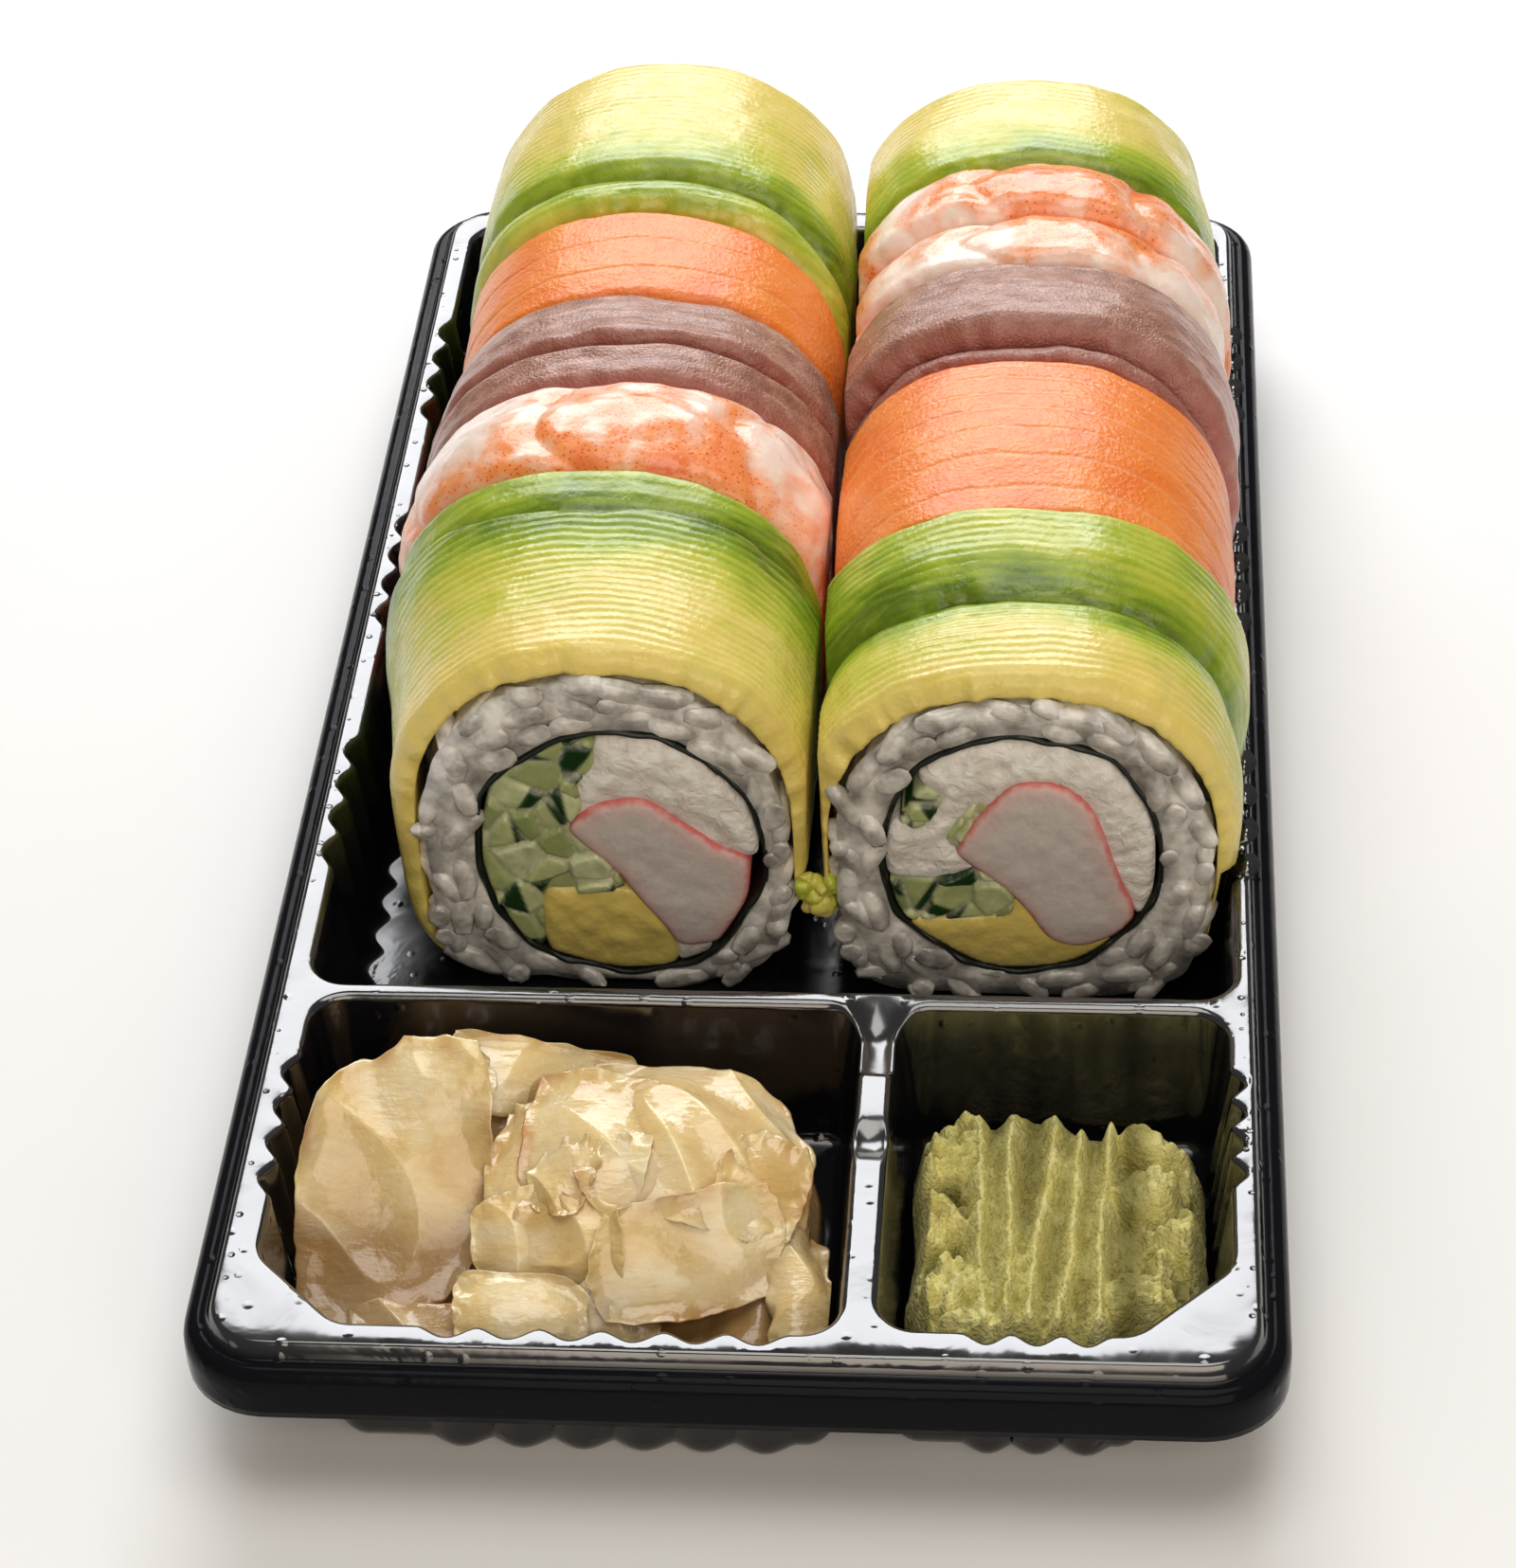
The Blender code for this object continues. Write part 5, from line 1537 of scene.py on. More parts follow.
@dataclass
class Topping:
    """A slice laid over a roll, between two edge lines that its neighbours share."""

    name: str
    front: Triple
    back: Triple
    ends: tuple[float, float]
    thickness: Triple
    rounding: tuple[float, float] = (1.3, 1.0)
    seed: int = 0
    lumps: float = 0.5

    SLOT = Slot.AVOCADO
    CLEARANCE = 0.6
    SIDE_TURN = 2.0
    EDGE_CURVE = 1.6
    COLUMNS = 170
    LINE_STEP = 0.24

    def edge_line(self, triple: Triple, turns: Array) -> Array:
        """An edge's place along Y at each angle, with a wobble that both its neighbours share.

        Args:
            triple: the places at the left, the top and the right.
            turns: the angles.

        Returns:
            A place for each angle.
        """
        left, top, right = triple
        aside = (np.abs(turns) / self.SIDE_TURN) ** self.EDGE_CURVE
        line = top + np.where(turns < 0, left - top, right - top) * aside
        places = np.stack([turns * 20, np.full(len(turns), sum(triple)), 0 * turns], axis=-1)
        return line + 0.30 * fractal(places, 5.0, 3, 9)

    def stations(self, width: float) -> Array:
        """Shares across the slice, closer together at its rounded edges."""
        near = np.array([0.0, 0.02, 0.06, 0.12, 0.22, 0.34, 0.5, 0.7, 0.92, 1.15]) / width
        middle = np.arange(1.35, width - 1.35, self.LINE_STEP) / width
        return np.concatenate([near, middle, 1 - near[::-1]])

    def relief(self, around: Array, across: Array, places: Array) -> Array:
        """Height added to the top, in millimetres: the kinds of slice give their own.

        Args:
            around: from -1 at the left end to 1 at the right one.
            across: from 0 at the front edge to 1 at the back one.
            places: the same points in millimetres.
        """
        return 0 * around

    def traits(self, around: Array, across: Array, places: Array, face: Array) -> dict[str, Array]:
        """Values that the finish reads, from the same places; face is 1 at the cut front, fading inwards."""
        return {}

    def build(self, material: Material) -> Object:
        """Builds the slice as a closed tube of lines: its top, its rounded edges and its base.

        Args:
            material: its finish.

        Returns:
            The new object.
        """
        row = ROWS[self.name.rsplit("_", 1)[1]]
        turns = row.even_turns(*self.ends, self.COLUMNS)
        u = np.linspace(-1, 1, self.COLUMNS)
        front = self.edge_line(self.front, turns) + GAP / 2
        back = self.edge_line(self.back, turns) - GAP / 2
        width = back - front
        v = self.stations(float(width.mean()))
        across, around = np.meshgrid(v, u, indexing="ij")
        turn = np.broadcast_to(turns, across.shape)
        y = front + (back - front) * across
        marks = np.stack([turn * 20, 0 * turn, across * 0 + self.seed], axis=-1)
        cut = np.exp(-across * width / 1.6)
        y = y + cut * self.lumps * np.abs(fractal(marks, 2.2, 3, self.seed))
        near_front = np.clip(across * width / self.rounding[0], 0, 1)
        near_back = np.clip((1 - across) * width / self.rounding[1], 0, 1)
        profile = np.sqrt(1 - (1 - near_front) ** 2) * np.sqrt(1 - (1 - near_back) ** 2)
        tip = np.minimum(1.0, 0.30 + 0.86 * np.sin(math.pi * (around + 1) / 2) ** 0.5)
        thick = smooth_knots(across, (0.0, 0.5, 1.0), self.thickness)
        places = row.outline(turn, y, self.CLEARANCE + thick)
        height = thick * profile * tip + self.relief(around, across, places) * profile
        height = height * (1 - 0.25 * cut * np.abs(noise(marks, 4.5, self.seed + 30)) * profile)
        height = np.clip(height, 0.0, thick)
        top = row.outline(turn, y, self.CLEARANCE + height)
        base_v = np.linspace(1, 0, 7)[1:-1]
        base_y = front + (back - front) * base_v[:, None]
        base_turns = np.broadcast_to(turns, base_y.shape)
        base = row.outline(base_turns, base_y, np.full(base_y.shape, self.CLEARANCE))
        tube = np.concatenate([top, base]).transpose(1, 0, 2)
        columns, lines = tube.shape[:2]
        ends = tube[[0, -1]].mean(axis=1)
        points = np.vstack([tube.reshape(-1, 3), ends])
        ring = np.arange(lines)
        caps = [fan_faces(ring, columns * lines)[:, ::-1],
                fan_faces(ring + (columns - 1) * lines, columns * lines + 1)]
        face = np.exp(-across * width / 1.1)
        extra = (self.COLUMNS, len(base_v))
        traits = {}
        for key, value in self.traits(around, across, places, face).items():
            tops = np.broadcast_to(value, across.shape).T
            traits[key] = np.append(np.hstack([tops, np.zeros(extra)]).ravel(), [0.0, 0.0])
        parts = MeshParts()
        parts.add(points, [grid_faces(columns, lines, True), *caps], **traits)
        mesh = parts.mesh(self.name)
        return place_piece(f"{self.name}_slice", mesh, material, [self.name])


@dataclass
class AvocadoTopping(Topping):
    """A fan of avocado: knife ridges over its top, and green where it lay near the skin."""

    green: Triple = (0.0, 0.35, 0.8)
    sides: tuple[float, float] = (0.0, 0.0)
    ridge: float = 0.2
    pitch: float = 1.08

    def cuts(self, places: Array) -> Array:
        """The knife's ridges as a folded sine of Y that wanders: 0 between them, 1 on them."""
        drift = 0.8 * noise(places * [0.35, 0.6, 0.35], 6.0, self.seed) + 0.25 * noise(places, 3.0, self.seed)
        return np.abs(np.sin(math.pi * (places[..., 1] / self.pitch + drift)))

    def relief(self, around: Array, across: Array, places: Array) -> Array:
        """Fine ridges at the pitch of the cuts, with long soft swells and small nicks."""
        wave = self.cuts(places)
        fade = 0.45 + 0.55 * smooth_step(0.5 + 0.9 * noise(places, 9.0, self.seed + 1))
        ends = 0.35 + 0.65 * smooth_step((1 - np.abs(around)) / 0.35)
        swell = 0.4 * fractal(places, 9.0, 2, self.seed + 2) - 0.4
        return -self.ridge * (1 - wave ** 0.7) * fade * ends + swell * 0.8

    def traits(self, around: Array, across: Array, places: Array, face: Array) -> dict[str, Array]:
        """Greenness across the slice, more at one side, with paler ridge tops and edges."""
        green = smooth_knots(across, (0.0, 0.5, 1.0), self.green)
        green = green + np.where(around < 0, self.sides[0], self.sides[1]) * np.abs(around) ** 1.5
        wave = self.cuts(places)
        green = green + 0.12 * (1 - wave) + 0.16 * fractal(places * [0.5, 1.0, 0.5], 6.0, 3, self.seed + 5)
        return {"green": np.clip(green - 0.1 * face, 0.0, 1.0)}


@dataclass
class PrawnTopping(Topping):
    """A butterflied prawn: plump segments across its width and bands of orange specks."""

    segment: float = 0.21
    orange: Triple = (0.6, 0.5, 0.1)

    SLOT = Slot.PRAWN

    def relief(self, around: Array, across: Array, places: Array) -> Array:
        """Segments as rounded swells with narrow creases between them."""
        lean = around + 0.10 * np.sin(across * 3.0) + 0.05 * noise(places, 5.0, self.seed)
        wave = np.abs(np.sin(math.pi * lean / self.segment / 2))
        return -0.75 * (1 - wave) ** 3.0 - 0.25 + 0.25 * fractal(places, 4.0, 3, self.seed + 1)

    def traits(self, around: Array, across: Array, places: Array, face: Array) -> dict[str, Array]:
        """Orange in bands along the slice, at both ends and in every second segment."""
        band = smooth_knots(across, (0.0, 0.5, 1.0), self.orange)
        ends = 0.5 * smooth_step((np.abs(around) - 0.55) / 0.35)
        lean = around + 0.10 * np.sin(across * 3.0)
        crease = 0.25 * (1 - np.abs(np.sin(math.pi * lean / self.segment / 2))) ** 2
        turns = 0.22 * np.sin(math.pi * lean / self.segment / 2)
        return {"orange": np.clip(band + ends + crease + turns, 0.0, 1.2)}


@dataclass
class TunaTopping(Topping):
    """A slice of tuna: fibres along the roll's round and a redder cut face."""

    pink: tuple[float, float] = (0.0, 0.0)

    SLOT = Slot.TUNA

    def relief(self, around: Array, across: Array, places: Array) -> Array:
        """Fine fibres with soft swells."""
        fibre = fractal(places * [0.5, 1.6, 0.5], 1.6, 2, self.seed)
        return 0.10 * fibre - 0.25 + 0.35 * fractal(places, 7.0, 2, self.seed + 1)

    def traits(self, around: Array, across: Array, places: Array, face: Array) -> dict[str, Array]:
        """Red at the cut face, and pink towards the sides."""
        side = np.where(around < 0, self.pink[0], self.pink[1]) * smooth_step((np.abs(around) - 0.35) / 0.6)
        return {"cut": np.clip(face * 1.2, 0, 0.9), "pink": np.clip(side, 0, 1)}


@dataclass
class SalmonTopping(Topping):
    """A slice of salmon: smooth, with thin curved lines of fat that are slightly sunk."""

    lines: tuple[float, ...] = ()
    bow: float = 0.3
    clear_side: float = 0.0

    SLOT = Slot.SALMON

    def line_shape(self, around: Array, across: Array, places: Array) -> Array:
        """Nearness to the lines: each is a place across the slice that bows with the angle."""
        shape = 0 * around
        span = abs(self.back[1] - self.front[1])
        for number, middle in enumerate(self.lines):
            path = middle + self.bow * (around + 0.15) ** 2 * (0.5 + 0.5 * middle) + 0.05 * around
            path = path + 0.012 * noise(places, 4.0, self.seed + number)
            away = np.abs(across - path) * span
            fade = smooth_step(1.2 - np.abs(around) - 0.1 * (number % 3))
            shape = np.maximum(shape, fade * np.exp(-(away / 0.2) ** 2))
        return shape

    def relief(self, around: Array, across: Array, places: Array) -> Array:
        """Sunk lines and a fine, moist grain."""
        grain = 0.05 * fractal(places, 0.9, 2, self.seed + 20)
        swell = 0.3 * noise(places, 11.0, self.seed) - 0.25
        return grain + swell - 0.2 * self.line_shape(around, across, places)

    def traits(self, around: Array, across: Array, places: Array, face: Array) -> dict[str, Array]:
        """Fat lines, and a clearer, paler end."""
        clear = self.clear_side * smooth_step((around - 0.62) / 0.2)
        return {"fat": 0.5 * self.line_shape(around, across, places), "clear": clear}


TOPPINGS: list[Topping] = [
    AvocadoTopping("avocado_front_left", (-27.9, -27.9, -27.9), (4.0, -4.0, -5.0), (4.5, 14.0),
                   (2.9, 3.3, 4.2), (2.3, 1.4), 1, green=(0.0, 0.28, 0.85), sides=(0.22, 0.0)),
    AvocadoTopping("avocado_back_left", (4.0, -4.0, -5.0), (9.0, 4.0, -2.6), (9.0, 15.0),
                   (2.0, 2.9, 3.3), (1.8, 1.6), 2, green=(1.0, 0.72, 0.62), sides=(0.1, 0.0),
                   ridge=0.06),
    PrawnTopping("prawn_left", (9.0, 4.0, -2.6), (18.0, 20.0, 19.0), (8.0, 13.0), (2.8, 4.0, 3.2),
                 (2.4, 1.6), 3, orange=(0.75, 0.42, 0.0)),
    TunaTopping("tuna_near_left", (18.0, 20.0, 19.0), (25.0, 26.5, 26.5), (8.0, 13.0), (2.7, 3.1, 3.6),
                (1.6, 0.8), 4),
    TunaTopping("tuna_far_left", (25.0, 26.5, 26.5), (37.0, 37.0, 34.0), (7.0, 13.0), (4.0, 3.4, 2.8),
                (1.8, 1.0), 5),
    SalmonTopping("salmon_left", (37.0, 37.0, 34.0), (57.0, 54.0, 43.0), (7.0, 14.0), (2.4, 2.8, 2.8),
                  (1.6, 1.2), 6, lines=(0.3, 0.62), bow=0.1),
    AvocadoTopping("avocado_step_left", (57.0, 54.0, 43.0), (64.0, 61.0, 51.0), (6.0, 14.0),
                   (3.4, 3.6, 2.6), (2.4, 1.4), 7, green=(0.5, 0.6, 0.9), sides=(0.2, 0.0), ridge=0.12),
    AvocadoTopping("avocado_far_left", (64.0, 61.0, 51.0), (85.0, 85.0, 85.0), (5.0, 12.0),
                   (3.6, 3.6, 3.2), (2.6, 2.0), 8, green=(0.72, 0.12, 0.05), sides=(0.3, 0.25),
                   ridge=0.1),
    AvocadoTopping("avocado_front_right", (-29.0, -29.0, -29.0), (-14.0, -15.0, -16.0), (12.0, 9.5),
                   (2.9, 3.2, 2.4), (2.3, 1.4), 9, green=(0.0, 0.25, 0.8), sides=(0.1, 0.15)),
    AvocadoTopping("avocado_back_right", (-14.0, -15.0, -16.0), (-1.0, -2.4, -4.0), (12.0, 9.5),
                   (2.4, 4.0, 4.2), (2.6, 1.2), 10, green=(1.0, 0.56, 0.5), sides=(0.3, -0.1),
                   ridge=0.16),
    SalmonTopping("salmon_right", (-1.0, -2.4, -4.0), (24.0, 26.0, 15.0), (10.0, 12.0), (2.6, 3.0, 2.6),
                  (1.2, 1.2), 11, lines=(0.16, 0.34, 0.5, 0.64, 0.76, 0.87, 0.95), bow=-0.32,
                  clear_side=0.6),
    TunaTopping("tuna_thin_right", (24.0, 26.0, 15.0), (27.0, 29.0, 19.0), (11.0, 14.0), (2.2, 2.2, 2.2),
                (1.0, 0.8), 12, pink=(0.0, 0.7)),
    TunaTopping("tuna_thick_right", (27.0, 29.0, 19.0), (44.0, 44.0, 38.0), (11.0, 16.0),
                (4.6, 4.4, 3.4), (2.8, 1.4), 13, pink=(0.0, 0.5)),
    PrawnTopping("prawn_near_right", (44.0, 44.0, 38.0), (53.0, 54.0, 50.0), (11.0, 16.0),
                 (3.2, 3.4, 2.8), (2.2, 1.4), 14, orange=(0.05, 0.45, 0.6)),
    PrawnTopping("prawn_far_right", (53.0, 54.0, 50.0), (64.0, 65.0, 60.0), (11.0, 16.0),
                 (3.9, 3.8, 3.0), (2.6, 1.4), 15, orange=(0.3, 0.7, 0.5)),
    AvocadoTopping("avocado_far_right", (64.0, 65.0, 60.0), (84.0, 84.0, 84.0), (10.0, 15.0),
                   (3.0, 3.6, 3.2), (2.4, 2.0), 16, green=(0.8, 0.1, 0.05), sides=(0.2, 0.3),
                   ridge=0.08),
]


# Heaps


def keep_in_pocket(points: Array, pocket: Pocket, margin: float, floor: float) -> Array:
    """Points held inside a pocket's free space, as soft food leans on its walls and floor.

    Args:
        points: the food's points.
        pocket: which pocket.
        margin: the distance to its walls.
        floor: the lowest height.

    Returns:
        The points, moved inside.
    """
    x, y = points[..., 0], points[..., 1]
    z = np.maximum(points[..., 2], floor)
    reach = wall_inset(z, margin, -GAP)
    x = np.clip(x, pocket.left + reach, pocket.right - reach)
    y = np.clip(y, pocket.front + reach, pocket.back - reach)
    tangent = pocket.radius * (2.0 - math.sqrt(2.0))
    for corner_x, corner_y, cut in ((pocket.left, pocket.front, pocket.cut_left),
                                    (pocket.right, pocket.front, pocket.cut_right),
                                    (pocket.left, pocket.back, 0), (pocket.right, pocket.back, 0)):
        side_x = 1 if corner_x == pocket.right else -1
        side_y = 1 if corner_y == pocket.back else -1
        past = side_x * (x - corner_x) + side_y * (y - corner_y)
        past = np.maximum(past + (cut or tangent) + reach * math.sqrt(2.0), 0) / 2
        x, y = x - side_x * past, y - side_y * past
    return np.stack([x, y, z], axis=-1)


@dataclass(frozen=True)
class GingerSlice:
    """A rounded sheet of ginger: its middle, half sizes, turns in degrees and its bends."""

    middle: Triple
    half: tuple[float, float]
    turn: float
    tilt: float
    roll: float
    bend: float
    cup: float
    skew: float
    hem: float
    roundness: float
    flare: float = 0.0
    curl: float = 0.0
    # How much painted shade darkens the sheet towards its low-u, low-v corner.
    stain: float = 0.0

    HEM_START = 0.35

    def surface(self, u: Array, v: Array) -> Array:
        """The sheet: an arc along u, another across v, with flare u^2 v, curl v^3 and a hanging hem.

        Args:
            u, v: places on the sheet, from -1 to 1.

        Returns:
            Points in millimetres.
        """
        x = (u * np.sqrt(1 - self.roundness * v * v / 2) + self.skew * v) * self.half[0]
        y = v * np.sqrt(1 - self.roundness * u * u / 2) * self.half[1]
        along = self.half[0] / math.radians(self.bend)
        across = self.half[1] / math.radians(self.cup)
        height = along * (np.cos(x / along) - 1) + across * (np.cos(y / across) - 1)
        height = height + self.flare * u * u * v + self.curl * v ** 3
        height = height - self.hem * np.maximum(v - self.HEM_START, 0) ** 2
        sheet = np.stack([along * np.sin(x / along), across * np.sin(y / across), height], axis=-1)
        turning = (Matrix.Rotation(math.radians(self.turn), 3, "Z")
                   @ Matrix.Rotation(math.radians(self.tilt), 3, "Y")
                   @ Matrix.Rotation(math.radians(self.roll), 3, "X"))
        return sheet @ np.array(turning).T + np.array(self.middle)


@dataclass
class GingerHeap:
    """Pickled ginger: thin, wavy slices folded over a core."""

    thickness: float = 1.3
    ruffle: float = 0.7
    lift: float = 1.3
    step: float = 0.04
    box: tuple[float, float, float, float] = (-39.2, 6.4, -86.6, -52.4)
    mounds: tuple[tuple[float, ...], ...] = (
        (-32.0, -64.5, 8.5, 7.5, 12.5), (-7.0, -66.0, 12.0, 8.5, 11.0), (3.0, -76.0, 6.5, 7.5, 4.0),
        (-19.5, -56.8, 9.0, 4.5, 9.5), (-19.5, -83.8, 6.5, 4.0, 7.5))
    slices: tuple[GingerSlice, ...] = (
        GingerSlice((-33.0, -70.0, 13.9), (9.9, 12.7), 18, -9, 44, 2, 4, 0.37, -1.8, 0.73, 2.0, -2.7,
                    0.62),
        GingerSlice((-19.4, -56.6, 15.3), (9.3, 4.6), 5, 16, 19, 9, 55, -0.11, -3.0, 0.3),
        GingerSlice((-3.6, -66.1, 18.0), (11.0, 10.0), -3, 15, 6, 38, 41, -0.24, -2.0, 0.45),
        GingerSlice((-5.0, -77.2, 12.7), (9.4, 5.9), 19, 4, 45, 15, -8, 0.08, 2.4, 0.57),
        GingerSlice((-15.0, -66.7, 18.7), (6.5, 8.1), -6, -6, 8, 31, 37, 0.0, -2.8, 0.42),
        GingerSlice((-16.1, -77.0, 14.0), (5.7, 4.4), -15, -6, 51, 19, 30, -0.11, 1.8, 0.6),
        GingerSlice((-20.8, -69.3, 15.7), (3.9, 8.5), -7, -7, 19, 47, 36, -0.12, -1.4, 0.37),
        GingerSlice((-19.5, -84.4, 11.9), (6.6, 5.2), -1, 5, 25, 30, 62, -0.12, -2.7, 0.55),
        GingerSlice((5.6, -78.7, 10.7), (6.8, 4.5), -75, 11, -9, 23, 73, -0.26, -0.7, 0.37),
        GingerSlice((-30.6, -84.2, 7.2), (6.0, 5.2), -2, -5, 26, 17, 33, -0.13, 0.8, 0.4),
        GingerSlice((-27.5, -60.5, 18.6), (4.2, 3.4), 28, 12, 18, 30, 40, 0.2, -1.5, 0.9),
        GingerSlice((-9.5, -72.0, 17.2), (5.6, 4.6), 24, 6, 34, 26, 30, -0.2, 1.5, 0.8),
        GingerSlice((-21.5, -76.5, 12.6), (4.0, 5.0), 12, -14, 36, 34, 24, 0.1, 1.0, 0.8),
        GingerSlice((1.8, -70.5, 15.2), (4.4, 5.4), -18, 22, 22, 30, 34, -0.1, 1.0, 0.8),
        GingerSlice((-12.0, -82.5, 9.6), (5.0, 3.6), 8, 4, 40, 24, 36, 0.1, 1.0, 0.8),
        GingerSlice((-17.0, -71.5, 17.6), (3.6, 4.4), -24, -10, 30, 40, 30, 0.0, 1.4, 0.9),
    )

    def core(self, parts: MeshParts) -> None:
        """Adds the mounds under the slices as a height field with a flat base."""
        u, v = np.meshgrid(np.linspace(-1, 1, 90), np.linspace(-1, 1, 80), indexing="ij")
        bulge = 1 - 0.16 * (u * v) ** 4
        x = (self.box[0] + self.box[1]) / 2 + u * bulge * (self.box[1] - self.box[0]) / 2
        y = (self.box[2] + self.box[3]) / 2 + v * bulge * (self.box[3] - self.box[2]) / 2
        height = np.full(x.shape, 3.0)
        for cx, cy, sx, sy, tall in self.mounds:
            height = height + tall * np.exp(-(((x - cx) / sx) ** 2 + ((y - cy) / sy) ** 2))
        edge = np.clip(1.25 - np.maximum(np.abs(u), np.abs(v)) ** 6, 0.25, 1)
        flat = np.stack([x, y, 0 * x], axis=-1)
        folds = np.abs(fractal(flat * [1.0, 0.6, 1.0], 5.0, 3, 71))
        z = FOOD_BASE + (height + 1.2 * folds - 0.9) * edge
        top = keep_in_pocket(np.stack([x, y, z], axis=-1), POCKETS["ginger"], 0.2, FOOD_BASE + 0.2)
        # The core is painted with 0.75 shade, as it lies under the slices.
        close_heap(parts, top, np.array(0.75))

    def sheet(self, parts: MeshParts, item: GingerSlice, number: int) -> None:
        """Adds one slice as a closed, thin body: soft folds, ruffled and ragged towards its rim.

        Args:
            parts: what it is added to.
            item: the slice.
            number: its place in the order.
        """
        u, v = np.meshgrid(np.linspace(-1, 1, 100), np.linspace(-1, 1, 90), indexing="ij")
        rim = np.maximum(np.abs(u), np.abs(v))
        mark = np.stack([u * 5, v * 5, 0 * u + 3 * number], axis=-1)
        nicks = 0.06 * np.abs(fractal(mark, 2.2, 3, 80 + number)) + 0.05 * noise(mark, 3.5, 81)
        ragged = 1 - rim ** 2 * nicks
        upper = item.surface(u * ragged, v * ragged)
        normal = np.cross(np.gradient(upper, axis=0), np.gradient(upper, axis=1))
        normal /= np.maximum(np.linalg.norm(normal, axis=-1, keepdims=True), 1e-9)
        leaned = upper @ np.array([[0.8, -0.6, 0], [0.6, 0.8, 0], [0, 0, 1.0]])
        folds = 1 - np.abs(noise(leaned * [1.0, 0.45, 0.7], 5.5, 90 + number))
        ruffle = noise(upper, 3.0, 100 + number) * rim ** 5
        wave = 0.8 * (folds ** 2 - 0.6) + self.ruffle * ruffle + 0.03 * fractal(upper, 1.6, 2, 110 + number)
        lift = self.lift * rim ** 6 * (0.5 + 0.5 * noise(mark, 1.4, 120 + number))
        upper = upper + normal * (wave + lift - 0.3)[..., None]
        thin = self.thickness * (0.2 + 0.8 * np.clip(1 - rim ** 2, 0.0, 1))
        lower = upper - normal * thin[..., None]
        margin = self.step * number
        pocket = POCKETS["ginger"]
        floor = FOOD_BASE + 1.6
        upper = keep_in_pocket(upper, pocket, margin, floor - margin)
        lower = keep_in_pocket(lower, pocket, margin + 0.4, floor - margin - 0.5)
        # Painted shade: darker low in the pocket and in the creases of the folds, with a flat 0.4 on the
        # undersides.
        low = 0.6 * smooth_step((14.0 - upper[..., 2]) / 9.0) ** 1.5 + 0.26 * (1 - folds ** 2)
        # More painted shade towards the sheet's low-u, low-v corner, scaled for each slice.
        low = low + item.stain * smooth_step((0.15 - v - 0.3 * u) / 0.9)
        shade = np.concatenate([low.ravel(), np.full(low.size, 0.4)])
        close_sheet(parts, upper, lower, rim=np.tile(rim.ravel(), 2), deep=np.clip(shade, 0, 0.8))

    def build(self) -> Object:
        """Builds the heap as one piece."""
        parts = MeshParts()
        self.core(parts)
        for number, item in enumerate(self.slices):
            self.sheet(parts, item, number)
        mesh = parts.mesh("pickled_ginger")
        return place_piece("pickled_ginger_slices", mesh, PickledGinger().material(),
                           ["pickled_ginger"])


def close_sheet(parts: MeshParts, upper: Array, lower: Array, **traits: Array) -> None:
    """Adds a closed body between two grids of the same shape.

    Args:
        parts: what it is added to.
        upper, lower: the grids.
        traits: values for the points of both.
    """
    rows, columns = upper.shape[:2]
    start = rows * columns
    numbers = np.arange(start).reshape(rows, columns)
    edge = np.concatenate([numbers[0, :-1], numbers[:-1, -1], numbers[-1, :0:-1], numbers[:0:-1, 0]])
    points = np.vstack([upper.reshape(-1, 3), lower.reshape(-1, 3)])
    top = grid_faces(rows, columns)[:, ::-1]
    parts.add(points, [top, top[:, ::-1] + start, band_faces(edge, edge + start)], **traits)


def close_heap(parts: MeshParts, top: Array, deep: Array) -> None:
    """Adds a heap: its top grid over a flat, slightly smaller base.

    Args:
        parts: what it is added to.
        top: the grid.
        deep: how much painted shade darkens it.
    """
    middle = top.mean(axis=(0, 1))
    base = (top - middle) * 0.88 + middle
    base[..., 2] = FOOD_BASE
    shade = np.broadcast_to(deep, top.shape[:2]).ravel()
    close_sheet(parts, top, base, deep=np.concatenate([shade, shade]))


